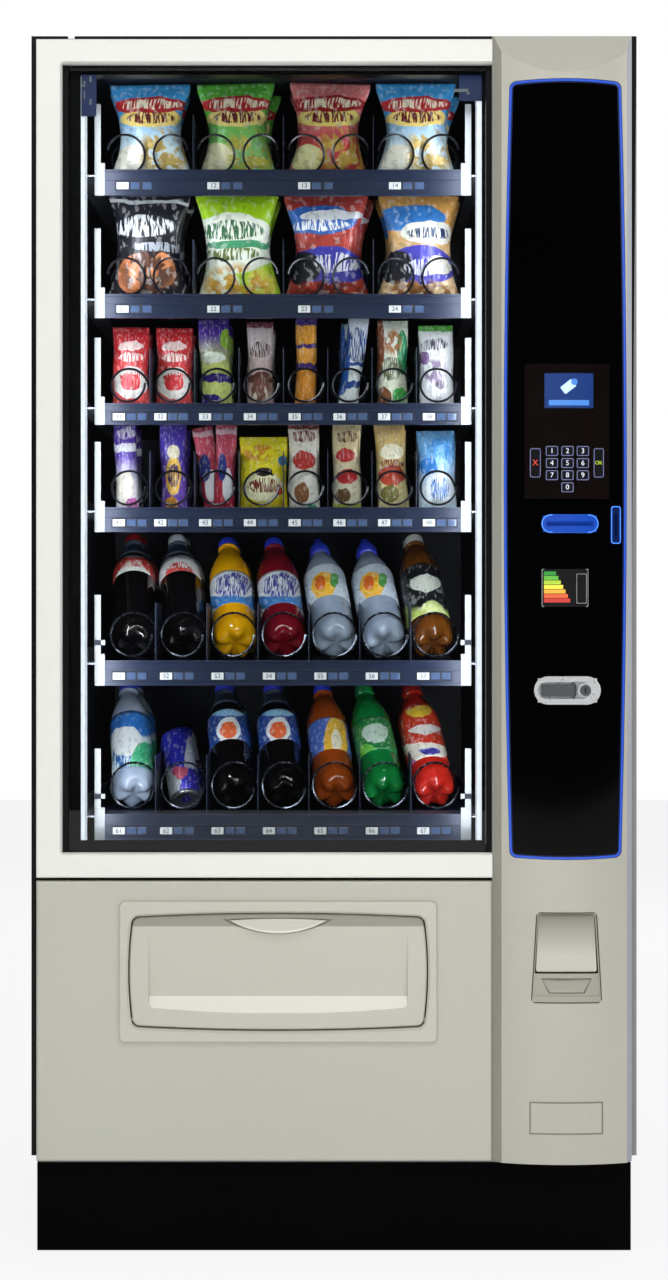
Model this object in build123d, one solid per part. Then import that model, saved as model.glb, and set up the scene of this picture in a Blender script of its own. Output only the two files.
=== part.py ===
from build123d import *
from math import atan2, cos, degrees, radians, sin
import os

"""Glass-fronted snack vending machine: an insulated cabinet with six spiral-coil trays, and an overlay
door that carries the glazing, the delivery hatch and the curved payment column.

Frame: millimetres, +Z up, +X to the customer's right, the front faces -Y.
The origin is on the floor, at the centre of the machine's footprint."""

# --- driving dimensions ---------------------------------------------------------------------------
HEIGHT = 1830.0
HALF_WIDTH = 455.0
HALF_DEPTH = 445.0
SHEET = 1.5  # folded sheet steel of the cabinet and the trays
WALL = 2.0  # tube and pressing thickness in the door

# plan depths, front to back
CREST_Y = -HALF_DEPTH  # most forward line of the curved column
BEZEL_Y = -428.0
TRIM_Y = -420.0  # front of the glass frame and the lower panel
SHELL_Y = -405.0  # front of the door's steel shell
DOOR_BACK = -345.0
CABINET_FRONT = DOOR_BACK + 3.0
TRAY_FRONT = -245.0
TRAY_BACK = 345.0
LINER_BACK = 389.0
REAR_SHEET_Y = 426.0

# heights
DECK_TOP = 138.0
SHELL_BOTTOM = 147.0
TRIM_BOTTOM = 141.0
LOWER_PANEL_TOP = 561.0
GLASS_BOTTOM = 603.0
GLASS_TOP = 1786.0
COMPARTMENT_FLOOR = 566.0
CEILING = 1818.0

# widths of the door's front
TRIM_LEFT = -446.0
COLUMN_LEFT = 237.0
COLUMN_RIGHT = 446.0
FRAME_BAR = 38.0
GLASS_LEFT = TRIM_LEFT + FRAME_BAR
GLASS_RIGHT = 229.0
WALL_LEFT = -410.0  # inner face of the insulated left wall
WALL_RIGHT = 437.0
PARTITION = 236.0  # left face of the partition beside the service compartment

# the column's front is one arc in plan
COLUMN_MID = (COLUMN_LEFT + 13 + COLUMN_RIGHT - 9) / 2
ARC_HALF = (COLUMN_RIGHT - 9 - COLUMN_LEFT - 13) / 2
ARC_RISE = 14.0
ARC_RADIUS = (ARC_HALF**2 + ARC_RISE**2) / (2 * ARC_RISE)
ARC_CENTRE_Y = CREST_Y + ARC_RADIUS

# delivery hatch
HATCH_X = -83.5
HATCH_HALF = 224.5
HATCH_LOW = 337.0
HATCH_HIGH = 514.5
HATCH_BOW = 6.0  # how far each side of the opening bows out
FLAP_GAP = 1.5
FLAP_EDGE = 3.0  # rounding that lets the flap's lower edge clear the bezel as it tips

# trays: name, floor, rail height, selections, pitch, coils in a selection, coil radius, turns
TRAY_LEFT = -377.0
TRAY_RIGHT = 216.0
TRAY_MID = (TRAY_LEFT + TRAY_RIGHT) / 2
TRAYS = (
    ("tray_1", 1659.0, 37.0, 4, 143.0, 2, 30.0, 8),
    ("tray_2", 1463.0, 34.0, 4, 143.0, 2, 30.0, 8),
    ("tray_3", 1291.0, 30.0, 8, 70.5, 1, 30.0, 8),
    ("tray_4", 1127.0, 35.0, 8, 70.5, 1, 30.0, 8),
    ("tray_5", 886.0, 36.0, 7, 81.0, 1, 37.0, 5),
    ("tray_6", 644.0, 39.0, 7, 81.0, 1, 37.0, 5),
)
COIL_LENGTH = 495.0
WIRE_RADIUS = 2.0
TWIN_HALF = 35.0  # half the distance between the two coils of a wide selection
MOTOR_Y = 302.0

# keypad
KEY_COLUMNS = (324.0, 347.0, 370.0)
KEY_ROWS = (1203.0, 1185.0, 1167.0, 1149.0)
KEY_WIDTH = 19.0
KEY_HEIGHT = 15.6
KEY_GAP = 0.4
PAD_LOW = (284.0, 1132.0)
PAD_HIGH = (410.0, 1333.0)
FASCIA_DEPTH = 3.0  # how far the black fascia lies behind the cover's arc
FASCIA_BACK = 7.5
CANCEL_X = (291.0, 308.0)
CONFIRM_X = (386.0, 402.0)
SIDE_KEY_Z = (1163.0, 1208.0)

RUNNING = 0.05  # radial clearance of each pin in its hole


# --- helpers --------------------------------------------------------------------------------------
def block(x, y, z):
    """A box from its low and high edges along each axis."""
    size = (x[1] - x[0], y[1] - y[0], z[1] - z[0])
    return Pos(x[0], y[0], z[0]) * Box(*size, align=(Align.MIN, Align.MIN, Align.MIN))


def rod_x(x, y, z, radius):
    """A round bar along X from x[0] to x[1]."""
    return Pos((x[0] + x[1]) / 2, y, z) * Rot(0, 90, 0) * Cylinder(radius, x[1] - x[0])


def rod_y(x, y, z, radius):
    """A round bar along Y from y[0] to y[1]."""
    return Pos(x, (y[0] + y[1]) / 2, z) * Rot(90, 0, 0) * Cylinder(radius, y[1] - y[0])


def rod_z(x, y, z, radius):
    """A round bar along Z from z[0] to z[1]."""
    return Pos(x, y, (z[0] + z[1]) / 2) * Cylinder(radius, z[1] - z[0])


def prism_z(points, z, corner=0.0):
    """A closed outline in plan, raised from z[0] to z[1]."""
    face = make_face(Polyline(*points, close=True))
    if corner:
        face = fillet(face.vertices(), corner)
    return Pos(0, 0, z[0]) * extrude(face, z[1] - z[0])


def prism_y(face, y):
    """A sketch drawn as (x, z), given depth from y[0] to y[1]."""
    return Pos(0, y[1], 0) * extrude(Plane.XZ * face, y[1] - y[0])


def prism_x(points, x):
    """A closed outline of (y, z) points, given length from x[0] to x[1]."""
    face = make_face(Polyline(*points, close=True))
    return Pos(x[0], 0, 0) * extrude(Plane.YZ * face, x[1] - x[0])


def write(node, *shapes):
    """One STEP for a node, holding each of its separate solids."""
    solids = [solid for shape in shapes for solid in shape.solids()]
    export_step(Compound(solids), f"parts/{node}.step")


def barrel(x, z, half_x, half_z, bow_x, bow_z, corner):
    """A rectangle whose four sides bow outwards, with rounded corners."""
    left, right = x - half_x, x + half_x
    low, high = z - half_z, z + half_z
    sides = (
        ThreePointArc((left, low), (x, low - bow_z), (right, low)),
        ThreePointArc((right, low), (right + bow_x, z), (right, high)),
        ThreePointArc((right, high), (x, high + bow_z), (left, high)),
        ThreePointArc((left, high), (left - bow_x, z), (left, low)),
    )
    face = make_face(Curve() + list(sides))
    return fillet(face.vertices(), corner)


def arc_layer(depth, z):
    """The layer of the column between two depths behind its curved front."""
    outer = rod_z(COLUMN_MID, ARC_CENTRE_Y, z, ARC_RADIUS - depth[0])
    inner = rod_z(COLUMN_MID, ARC_CENTRE_Y, z, ARC_RADIUS - depth[1])
    front = block((COLUMN_LEFT, COLUMN_RIGHT), (CREST_Y, SHELL_Y + 40), z)
    return (outer - inner) & front


def arc_y(x, depth=0.0):
    """The y of the column's curved front at x, that far behind it."""
    radius = ARC_RADIUS - depth
    return ARC_CENTRE_Y - (radius**2 - (x - COLUMN_MID) ** 2) ** 0.5


# --- cabinet --------------------------------------------------------------------------------------
HINGE_X = -449.0
HINGE_Y = DOOR_BACK + 1.5
HINGE_HEIGHTS = (300.0, 985.0, 1670.0)
KNUCKLE = 5.0
HINGE_PIN = 2.0
RELIEF_X = 13.0  # both outer corners are cut back beside the hinge barrels
RELIEF_Y = 12.0


def side_panels():
    """Folded steel sides: a skin with a return at the front and at the back."""
    corner_x = -HALF_WIDTH + RELIEF_X
    corner_y = CABINET_FRONT + RELIEF_Y
    outer = [
        (-HALF_WIDTH, HALF_DEPTH),
        (-HALF_WIDTH, corner_y),
        (corner_x, CABINET_FRONT),
        (WALL_LEFT, CABINET_FRONT),
        (WALL_LEFT, CABINET_FRONT + SHEET),
        (corner_x + 0.6, CABINET_FRONT + SHEET),
        (-HALF_WIDTH + SHEET, corner_y + 0.6),
        (-HALF_WIDTH + SHEET, HALF_DEPTH - SHEET),
        (WALL_LEFT, HALF_DEPTH - SHEET),
        (WALL_LEFT, HALF_DEPTH),
    ]
    write("side_panel_left", prism_z(outer, (DECK_TOP, HEIGHT - SHEET)))
    right = [
        (HALF_WIDTH, HALF_DEPTH),
        (HALF_WIDTH, CABINET_FRONT),
        (WALL_RIGHT, CABINET_FRONT),
        (WALL_RIGHT, CABINET_FRONT + SHEET),
        (HALF_WIDTH - SHEET, CABINET_FRONT + SHEET),
        (HALF_WIDTH - SHEET, HALF_DEPTH - SHEET),
        (WALL_RIGHT, HALF_DEPTH - SHEET),
        (WALL_RIGHT, HALF_DEPTH),
    ]
    write("side_panel_right", prism_z(right, (DECK_TOP, HEIGHT - SHEET)))


def top_and_back():
    """The roof sheet with a front and a rear fold, and the rear sheet with its cooling slots."""
    roof = block((-HALF_WIDTH, HALF_WIDTH), (CABINET_FRONT, HALF_DEPTH), (HEIGHT - SHEET, HEIGHT))
    fold_z = (CEILING + 2, HEIGHT - SHEET)
    front = block((WALL_LEFT, WALL_RIGHT), (CABINET_FRONT, CABINET_FRONT + SHEET), fold_z)
    rear = block((WALL_LEFT, WALL_RIGHT), (HALF_DEPTH - SHEET, HALF_DEPTH), fold_z)
    write("top_panel", roof + front + rear)

    sheet = block((WALL_LEFT, WALL_RIGHT), (REAR_SHEET_Y, REAR_SHEET_Y + SHEET), (DECK_TOP, HEIGHT - SHEET))
    slot = SlotOverall(150, 8)
    slots = [
        Pos(x, z) * slot for x in (-300, -130, 40) for z in range(190, 500, 24)
    ]
    louvres = prism_y(Sketch() + slots, (REAR_SHEET_Y - 1, REAR_SHEET_Y + SHEET + 1))
    hat = block((-150, 150), (REAR_SHEET_Y + SHEET, HALF_DEPTH - SHEET), (1000, 1030))
    write("back_panel", sheet - louvres, hat, Pos(0, 0, 500) * hat)


def base():
    """Deck, plinth boards and four screw feet."""
    deck_x = (-444.0, 444.0)
    deck_y = (-397.0, 441.0)
    plate = block(deck_x, deck_y, (DECK_TOP - 3, DECK_TOP))
    rails = []
    for x in (-395.0, 395.0):
        outer = block((x - 30, x + 30), deck_y, (DECK_TOP - 23, DECK_TOP - 3))
        inner = block((x - 28, x + 28), deck_y, (DECK_TOP - 21, DECK_TOP - 5))
        rails.append(outer - inner)
    write("base_deck", plate, *rails)

    plinth_z = (3.0, DECK_TOP - 3)
    front = block((-447, 447), (-400, -397), plinth_z)
    left = block((-447, -444), (-397, 438), plinth_z)
    right = block((444, 447), (-397, 438), plinth_z)
    write("kick_plate", front, left, right)

    foot_top = DECK_TOP - 23
    pad = Cylinder(28, 9, align=(Align.CENTER, Align.CENTER, Align.MIN))
    boot = Pos(0, 0, 9) * Cone(28, 11, 9, align=(Align.CENTER, Align.CENTER, Align.MIN))
    stud = rod_z(0, 0, (18, foot_top), 6)
    nut = Pos(0, 0, foot_top - 9) * extrude(RegularPolygon(12, 6), 9)
    foot = pad + boot + stud + nut
    write("levelling_feet", *[Pos(x, y, 0) * foot for x in (-395, 395) for y in (-340, 390)])


def liner():
    """The lining of the goods compartment and the partition beside it."""
    upper = (COMPARTMENT_FLOOR, CEILING)
    left = block((WALL_LEFT, WALL_LEFT + 3), (CABINET_FRONT, LINER_BACK), (DECK_TOP, CEILING))
    inner_x = (WALL_LEFT + 3, PARTITION)
    rear = block(inner_x, (LINER_BACK - 3, LINER_BACK), upper)
    ceiling = block((WALL_LEFT, PARTITION + 3), (CABINET_FRONT, LINER_BACK), (CEILING, CEILING + 2))
    floor = block(inner_x, (-114, LINER_BACK - 3), (COMPARTMENT_FLOOR - 3, COMPARTMENT_FLOOR))
    bulkhead = block(inner_x, (-117, -114), (DECK_TOP, COMPARTMENT_FLOOR))
    partition = block((PARTITION, PARTITION + 3), (CABINET_FRONT, LINER_BACK), (DECK_TOP, CEILING))
    write("cabinet_liner", left, rear, ceiling, floor, bulkhead, partition)


def tray_runners():
    """A ledge with an upright back for each end of each tray."""
    runners = []
    for name, top, *rest in TRAYS:
        for wall, inner in ((WALL_LEFT + 3, TRAY_LEFT - 2), (PARTITION, TRAY_RIGHT + 2)):
            low, high = min(wall, inner), max(wall, inner)
            ledge = block((low, high), (-225, 340), (top - 3, top - 0.3))
            web_x = (low, low + 2) if wall < 0 else (high - 2, high)
            web = block(web_x, (-225, 340), (top - 0.3, top + 24))
            runners.append(ledge + web)
    write("tray_runners", *runners)


CHUTE_X = (HATCH_X - HATCH_HALF - 3, HATCH_X + HATCH_HALF + 3)
CHUTE_FRONT = CABINET_FRONT + 1
CHUTE_BACK = -130.0
CHUTE_TOP = 560.0
BAFFLE_Y = -240.0
BAFFLE_Z = 550.0
BAFFLE_PIN = 4.0
BAFFLE_LENGTH = 92.0


def delivery_chute():
    """Bin behind the hatch: sloping floor, back, two cheeks and stays; with the hinged baffle that
    swings forward over it when the hatch opens."""
    low = 326.0
    rise = 70.0
    floor = prism_x(
        [
            (CHUTE_FRONT, low),
            (CHUTE_BACK, low + rise),
            (CHUTE_BACK, low + rise - 3),
            (CHUTE_FRONT, low - 3),
        ],
        CHUTE_X,
    )
    back = block(CHUTE_X, (CHUTE_BACK, CHUTE_BACK + 2), (low + rise - 3, CHUTE_TOP))
    cheek_y = (CHUTE_FRONT, CHUTE_BACK + 2)
    cheek_z = (low - 3, CHUTE_TOP)
    hole = rod_x((CHUTE_X[0] - 5, CHUTE_X[1] + 5), BAFFLE_Y, BAFFLE_Z, BAFFLE_PIN + RUNNING)
    left = block((CHUTE_X[0] - 2, CHUTE_X[0]), cheek_y, cheek_z) - hole
    right = block((CHUTE_X[1], CHUTE_X[1] + 2), cheek_y, cheek_z) - hole
    stays = [
        block((x - 15, x + 15), (CHUTE_BACK + 2, -117), (450, 453)) for x in (-220, 60)
    ]
    legs = [
        block((x - 2, x), (CHUTE_FRONT + 20, CHUTE_FRONT + 60), (DECK_TOP, low - 3))
        for x in (CHUTE_X[0], CHUTE_X[1] + 2)
    ]
    write("delivery_chute", floor, back, left, right, *stays, *legs)

    inner = (CHUTE_X[0] + 2, CHUTE_X[1] - 2)
    shaft = rod_x((CHUTE_X[0] - 4, CHUTE_X[1] + 4), BAFFLE_Y, BAFFLE_Z, BAFFLE_PIN)
    plate = block(inner, (BAFFLE_Y - 1, BAFFLE_Y + 1), (BAFFLE_Z - BAFFLE_LENGTH, BAFFLE_Z))
    lip = rod_x(inner, BAFFLE_Y, BAFFLE_Z - BAFFLE_LENGTH, 2.5)
    write("baffle_flap", shaft + plate + lip)


FAN_X = -220.0
FAN_Z = 320.0
FAN_SHAFT = 3.0


def cooling():
    """Slide-in refrigeration deck: compressor, condenser, fan motor and evaporator duct."""
    deck_z = DECK_TOP + 4
    deck = block((-395, 228), (-105, 415), (DECK_TOP, deck_z))
    shell = Pos(120, 40, 0) * (
        rod_z(0, 0, (deck_z + 26, deck_z + 150), 82)
        + Pos(0, 0, deck_z + 150) * Cone(82, 52, 34, align=(Align.CENTER, Align.CENTER, Align.MIN))
        + Pos(0, 0, deck_z + 10) * Cone(60, 82, 16, align=(Align.CENTER, Align.CENTER, Align.MIN))
    )
    hollow = Pos(120, 40, 0) * rod_z(0, 0, (deck_z + 30, deck_z + 146), 74)
    mounts = [rod_z(120 + x, 40 + y, (deck_z, deck_z + 10), 14) for x, y in ((-40, -35), (40, -35), (0, 50))]
    core = block((-370, -70), (-95, -62), (deck_z + 6, 500))
    feet = block((-370, -70), (-88, -69), (deck_z, deck_z + 6))
    shroud_cut = rod_y(FAN_X, (-63, -11), FAN_Z, 128)
    shroud = block((-370, -70), (-62, -50), (deck_z + 6, 500)) - shroud_cut
    motor = rod_y(FAN_X, (5, 60), FAN_Z, 34) + rod_y(FAN_X, (-27, 5), FAN_Z, FAN_SHAFT)
    post = block((FAN_X - 20, FAN_X + 20), (20, 45), (deck_z, FAN_Z - 20))
    duct = block((-375, 205), (130, 405), (400, 556)) - block((-372, 202), (129, 406), (403, 553))
    legs = [block((x, x + 20), (y, y + 20), (deck_z, 400)) for x in (-375, 185) for y in (135, 380)]
    fins = [block((x, x + 2), (200, 330), (403, 553)) for x in range(-360, 200, 40)]
    write("cooling_unit", deck, shell - hollow, *mounts, feet, core, shroud, motor + post, duct, *legs, *fins)

    hub_y = (-34.0, -12.0)
    hub = rod_y(FAN_X, hub_y, FAN_Z, 26)
    blades = []
    for number in range(5):
        blade = Pos(0, 0, 70) * Rot(0, 0, 32) * Box(46, 2, 96)
        turned = Pos(FAN_X, -23, FAN_Z) * Rot(0, 72 * number, 0) * blade
        blades.append(turned)
    fan = hub + blades
    bore = rod_y(FAN_X, (-29.0, hub_y[1] + 1), FAN_Z, FAN_SHAFT + RUNNING)
    write("cooling_fan", fan - bore)


def coin_mechanism():
    """Coin changer and cash box in the service compartment, hung on the partition."""
    rail = block((PARTITION + 3, PARTITION + 24), (-310, -270), (560, 1080))
    body = block((PARTITION + 24, 400), (-325, -245), (640, 1020))
    hopper = prism_x([(-325, 1020), (-245, 1020), (-265, 1062), (-325, 1062)], (PARTITION + 34, 390))
    tubes = [rod_z(285 + 30 * n, -228, (650, 900), 13) for n in range(4)]
    clips = block((PARTITION + 24, 400), (-245, -240), (640, 910))
    shelf = block((PARTITION + 3, 420), (-330, -180), (300, 304))
    box = block((262, 412), (-325, -190), (304, 430)) - block((266, 408), (-321, -194), (308, 431))
    write("coin_mechanism", rail, body + hopper, clips, *tubes, shelf, box)


def hinges():
    """Three hinges: a leaf with two knuckles and the pin on the cabinet, a leaf with one on the door."""
    cabinet, door = [], []
    for z in HINGE_HEIGHTS:
        span = (z - 60, z + 60)
        thirds = ((z - 60, z - 20.3), (z - 20, z + 20), (z + 20.3, z + 60))
        pin = rod_z(HINGE_X, HINGE_Y, span, HINGE_PIN)
        leaf = block((HINGE_X + 8, HINGE_X + 32), (HINGE_Y + 0.2, HINGE_Y + 1.4), span)
        for part in (thirds[0], thirds[2]):
            leaf += rod_z(HINGE_X, HINGE_Y, part, KNUCKLE)
            leaf += block((HINGE_X, HINGE_X + 8), (HINGE_Y + 0.2, HINGE_Y + 1.4), part)
        cabinet.append(leaf + pin)
        knuckle = rod_z(HINGE_X, HINGE_Y, thirds[1], KNUCKLE)
        knuckle += block((HINGE_X, HINGE_X + 8), (HINGE_Y - 1.4, HINGE_Y - 0.2), thirds[1])
        knuckle += block((HINGE_X + 8, HINGE_X + 32), (HINGE_Y - 1.4, HINGE_Y - 0.2), span)
        door.append(knuckle - rod_z(HINGE_X, HINGE_Y, span, HINGE_PIN + RUNNING))
    write("cabinet_hinges", *cabinet)
    write("door_hinges", *door)


# --- door -----------------------------------------------------------------------------------------
REBATE = 10.0  # the glazing sits this far inside the shell's front opening
REBATE_Y = SHELL_Y + 14
GLASS_Y = (REBATE_Y - 7, REBATE_Y - 1)


def door_shell():
    """Welded frame of steel tubes with a rebate for the glazing, and the plate behind the column."""
    glass_low, glass_high = GLASS_BOTTOM, GLASS_TOP + 3
    left_x = GLASS_LEFT + 8
    lip = left_x + REBATE
    bars = []

    relief = (-HALF_WIDTH + 14, -HALF_WIDTH)
    stile = [
        (-HALF_WIDTH, SHELL_Y),
        (left_x, SHELL_Y),
        (left_x, REBATE_Y),
        (lip, REBATE_Y),
        (lip, DOOR_BACK),
        (relief[0], DOOR_BACK),
        (relief[1], DOOR_BACK - 17),
    ]
    hollow = [
        (-HALF_WIDTH + WALL, SHELL_Y + WALL),
        (left_x - WALL, SHELL_Y + WALL),
        (left_x - WALL, REBATE_Y + WALL),
        (lip - WALL, REBATE_Y + WALL),
        (lip - WALL, DOOR_BACK - WALL),
        (relief[0] + 1, DOOR_BACK - WALL),
        (relief[1] + WALL, DOOR_BACK - 18),
    ]
    closed = prism_z(hollow, (SHELL_BOTTOM, HEIGHT - WALL))
    bars.append(prism_z(stile, (SHELL_BOTTOM, HEIGHT)) - closed)

    right_x = (440.0, HALF_WIDTH)
    right = block(right_x, (SHELL_Y, DOOR_BACK), (SHELL_BOTTOM, HEIGHT))
    inside = block((442, HALF_WIDTH - WALL), (SHELL_Y + WALL, DOOR_BACK - WALL), (SHELL_BOTTOM, HEIGHT - WALL))
    bars.append(right - inside)

    def rail(points, x):
        """A tube along X, from an outline of (y, z) points round its box middle."""
        outer = prism_x(points, x)
        mid_y = (SHELL_Y + DOOR_BACK) / 2
        mid_z = (points[0][1] + points[2][1]) / 2
        inner = [
            (y + (WALL if y < mid_y else -WALL), z + (WALL if z < mid_z else -WALL)) for y, z in points
        ]
        return outer - prism_x(inner, x)

    across = (lip, right_x[0])
    top = [(SHELL_Y, glass_high), (SHELL_Y, HEIGHT), (DOOR_BACK, HEIGHT), (DOOR_BACK, glass_high)]
    bottom = [
        (SHELL_Y, SHELL_BOTTOM),
        (SHELL_Y, 200),
        (DOOR_BACK, 200),
        (DOOR_BACK, SHELL_BOTTOM),
    ]
    bars.append(rail(top, across))
    bars.append(rail(bottom, across))
    middle_x = (GLASS_RIGHT, COLUMN_LEFT + 15)
    middle = block(middle_x, (SHELL_Y, DOOR_BACK), (200, glass_high))
    hole = block((middle_x[0] + WALL, middle_x[1] - WALL), (SHELL_Y + WALL, DOOR_BACK - WALL), (200, glass_high))
    bars.append(middle - hole)
    waist = [(SHELL_Y, 545), (SHELL_Y, glass_low), (DOOR_BACK, glass_low), (DOOR_BACK, 545)]
    bars.append(rail(waist, (lip, middle_x[0])))
    stops = [
        block((lip, middle_x[0]), (REBATE_Y, DOOR_BACK - 20), (glass_low, glass_low + REBATE)),
        block((lip, middle_x[0]), (REBATE_Y, DOOR_BACK - 20), (glass_high - REBATE - 3, glass_high)),
    ]
    plate = block((middle_x[1], right_x[0]), (DOOR_BACK - 3, DOOR_BACK), (200, glass_high))
    write("door_shell", *bars, *stops, plate)


def glass_frame():
    """Three mitred bars of drawn aluminium round the glazing; the column hides the fourth side."""
    bevel = 5.0
    edge = 2.0
    y = (TRIM_Y, SHELL_Y)
    low, high = LOWER_PANEL_TOP + 5, GLASS_TOP + 36
    inner_low, inner_high = GLASS_BOTTOM, GLASS_TOP
    outer = block((TRIM_LEFT, COLUMN_LEFT), y, (low, high))
    outer = chamfer(outer.edges().filter_by(Axis.Z).group_by(Axis.Y)[0].group_by(Axis.X)[0], edge)
    outer = chamfer(outer.edges().filter_by(Axis.X).group_by(Axis.Y)[0].group_by(Axis.Z)[0], edge)
    outer = chamfer(outer.edges().filter_by(Axis.X).group_by(Axis.Y)[0].group_by(Axis.Z)[-1], edge)
    window = block((GLASS_LEFT, COLUMN_LEFT), y, (inner_low, inner_high))
    flare = [
        (TRIM_Y, inner_low - bevel / 2),
        (TRIM_Y, inner_high + bevel / 2),
        (TRIM_Y + bevel, inner_high),
        (TRIM_Y + bevel, inner_low),
    ]
    flared = prism_x(flare, (GLASS_LEFT, COLUMN_LEFT))
    side = prism_z(
        [
            (GLASS_LEFT - bevel / 2, TRIM_Y),
            (GLASS_LEFT + 1, TRIM_Y),
            (GLASS_LEFT + 1, TRIM_Y + bevel),
            (GLASS_LEFT, TRIM_Y + bevel),
        ],
        (inner_low, inner_high),
    )
    ring = outer - window - flared - side
    reach = 60.0

    def mitre(corner_z, direction):
        """The half of the bars beyond a 45 degree cut at one left corner."""
        points = [
            (TRIM_LEFT, corner_z),
            (TRIM_LEFT + reach, corner_z + direction * reach),
            (TRIM_LEFT + 2000, corner_z + direction * reach),
            (TRIM_LEFT + 2000, corner_z),
        ]
        return prism_y(make_face(Polyline(*points, close=True)), y)

    top = ring & mitre(high, -1)
    bottom = ring & mitre(low, 1)
    left = ring - mitre(high, -1) - mitre(low, 1)
    write("glass_frame", top, bottom, left)
    pane = block((GLASS_LEFT + 9, GLASS_RIGHT - 1), GLASS_Y, (GLASS_BOTTOM + 1, GLASS_TOP + 2))
    write("glass_pane", pane)


def lower_panel():
    """Pressed steel panel with rolled edges and the cut-out for the hatch."""
    fold = 4.0
    outer = block((TRIM_LEFT, COLUMN_LEFT), (TRIM_Y, SHELL_Y), (TRIM_BOTTOM, LOWER_PANEL_TOP))
    front = outer.faces().sort_by(Axis.Y)[0].edges()
    outer = fillet(front, fold)
    inner = block(
        (TRIM_LEFT + WALL, COLUMN_LEFT - WALL),
        (TRIM_Y + WALL, SHELL_Y),
        (TRIM_BOTTOM + WALL, LOWER_PANEL_TOP - WALL),
    )
    inner = fillet(inner.faces().sort_by(Axis.Y)[0].edges(), fold - WALL)
    mid_z = (HATCH_LOW + HATCH_HIGH) / 2
    hole = Pos(HATCH_X, mid_z) * RectangleRounded(2 * HATCH_HALF + 22, HATCH_HIGH - HATCH_LOW + 22, 8)
    write("lower_panel", outer - inner - prism_y(hole, (TRIM_Y - 1, SHELL_Y + 1)))


FLAP_Y = -421.0
FLAP_THICK = 13.0
FLAP_PIN = 3.0
FLAP_AXIS_Y = FLAP_Y + FLAP_THICK / 2
FLAP_AXIS_Z = HATCH_LOW + 16
SCOOP_HALF = 194.0
SCOOP_HIGH = 494.0
SCOOP_DEPTH = 9.0


def hatch_outline(grow):
    """The hatch opening's bowed outline, made larger or smaller all round."""
    half_z = (HATCH_HIGH - HATCH_LOW) / 2
    mid_z = (HATCH_HIGH + HATCH_LOW) / 2
    bow = HATCH_BOW
    return barrel(HATCH_X, mid_z, HATCH_HALF - bow + grow, half_z - bow + grow, bow, bow, 13 + grow)


def hatch():
    """Moulded bezel with a throat behind it, and the tip-out flap with its finger lip."""
    mid_z = (HATCH_HIGH + HATCH_LOW) / 2
    border = Pos(HATCH_X, mid_z) * RectangleRounded(476, 211, 9)
    flange = prism_y(border, (BEZEL_Y, TRIM_Y))
    flange = fillet(flange.faces().sort_by(Axis.Y)[0].edges(), 3)
    spigot = Pos(HATCH_X, mid_z) * RectangleRounded(2 * HATCH_HALF + 20, HATCH_HIGH - HATCH_LOW + 20, 8)
    body = flange + prism_y(spigot, (TRIM_Y, SHELL_Y))
    body -= prism_y(hatch_outline(0), (BEZEL_Y - 1, SHELL_Y + 1))
    inner_edge = body.faces().sort_by(Axis.Y)[0].inner_wires()[0].edges()
    body = chamfer(inner_edge, 3)
    reach = HATCH_HALF + 8
    pin_hole = rod_x((HATCH_X - reach, HATCH_X + reach), FLAP_AXIS_Y, FLAP_AXIS_Z, FLAP_PIN + RUNNING)
    throat_outer = Pos(HATCH_X, mid_z) * Rectangle(2 * HATCH_HALF + 10, HATCH_HIGH - HATCH_LOW + 10)
    throat_inner = Pos(HATCH_X, mid_z) * Rectangle(2 * HATCH_HALF + 6, HATCH_HIGH - HATCH_LOW + 6)
    throat = prism_y(throat_outer - throat_inner, (SHELL_Y, DOOR_BACK - 1))
    write("hatch_bezel", body - pin_hole, throat)

    panel = prism_y(hatch_outline(-FLAP_GAP), (FLAP_Y, FLAP_Y + FLAP_THICK))
    panel = fillet(panel.faces().sort_by(Axis.Y)[0].edges(), FLAP_EDGE)
    slope = [(FLAP_Y - 1, SCOOP_HIGH + 1), (FLAP_Y + SCOOP_DEPTH, 388), (FLAP_Y - 1, 361)]
    panel -= prism_x(slope, (HATCH_X - 230, HATCH_X + 230)) & prism_y(scoop_outline(), (FLAP_Y - 2, FLAP_Y + 12))
    panel -= prism_y(lens(82.5, 504, 506, 482), (FLAP_Y - 1, FLAP_Y + 4.5))
    panel += finger_lip()
    ends = []
    for side in (-1, 1):
        x = sorted((HATCH_X + side * (HATCH_HALF - 10), HATCH_X + side * (HATCH_HALF + 5)))
        ends.append(rod_x(x, FLAP_AXIS_Y, FLAP_AXIS_Z, FLAP_PIN))
    back = FLAP_Y + FLAP_THICK + 1
    pocket = [(back, 404), (back, 478), (FLAP_Y + 5.5, 478), (back - 2, 404)]
    hollow = [prism_x(pocket, (x - 88, x + 88)) for x in (HATCH_X - 98, HATCH_X + 98)]
    write("delivery_flap", panel + ends - hollow)


def lens(half, tips, high, low):
    """A shape between two arcs that meet in points at both ends, in the middle of the hatch."""
    left, right = HATCH_X - half, HATCH_X + half
    upper = ThreePointArc((left, tips), (HATCH_X, high), (right, tips))
    lower = ThreePointArc((right, tips), (HATCH_X, low), (left, tips))
    return make_face(Curve() + [upper, lower])


def scoop_outline():
    """The flap's shallow scoop: a bowed lower edge with rounded ends."""
    left, right = HATCH_X - SCOOP_HALF, HATCH_X + SCOOP_HALF
    sides = (
        ThreePointArc((left, 372), (HATCH_X, 363), (right, 372)),
        Polyline((right, 372), (right, SCOOP_HIGH), (left, SCOOP_HIGH), (left, 372)),
    )
    face = make_face(Curve() + list(sides))
    low_corners = face.vertices().group_by(Axis.Y)[0]
    return fillet(low_corners, 8)


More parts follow.
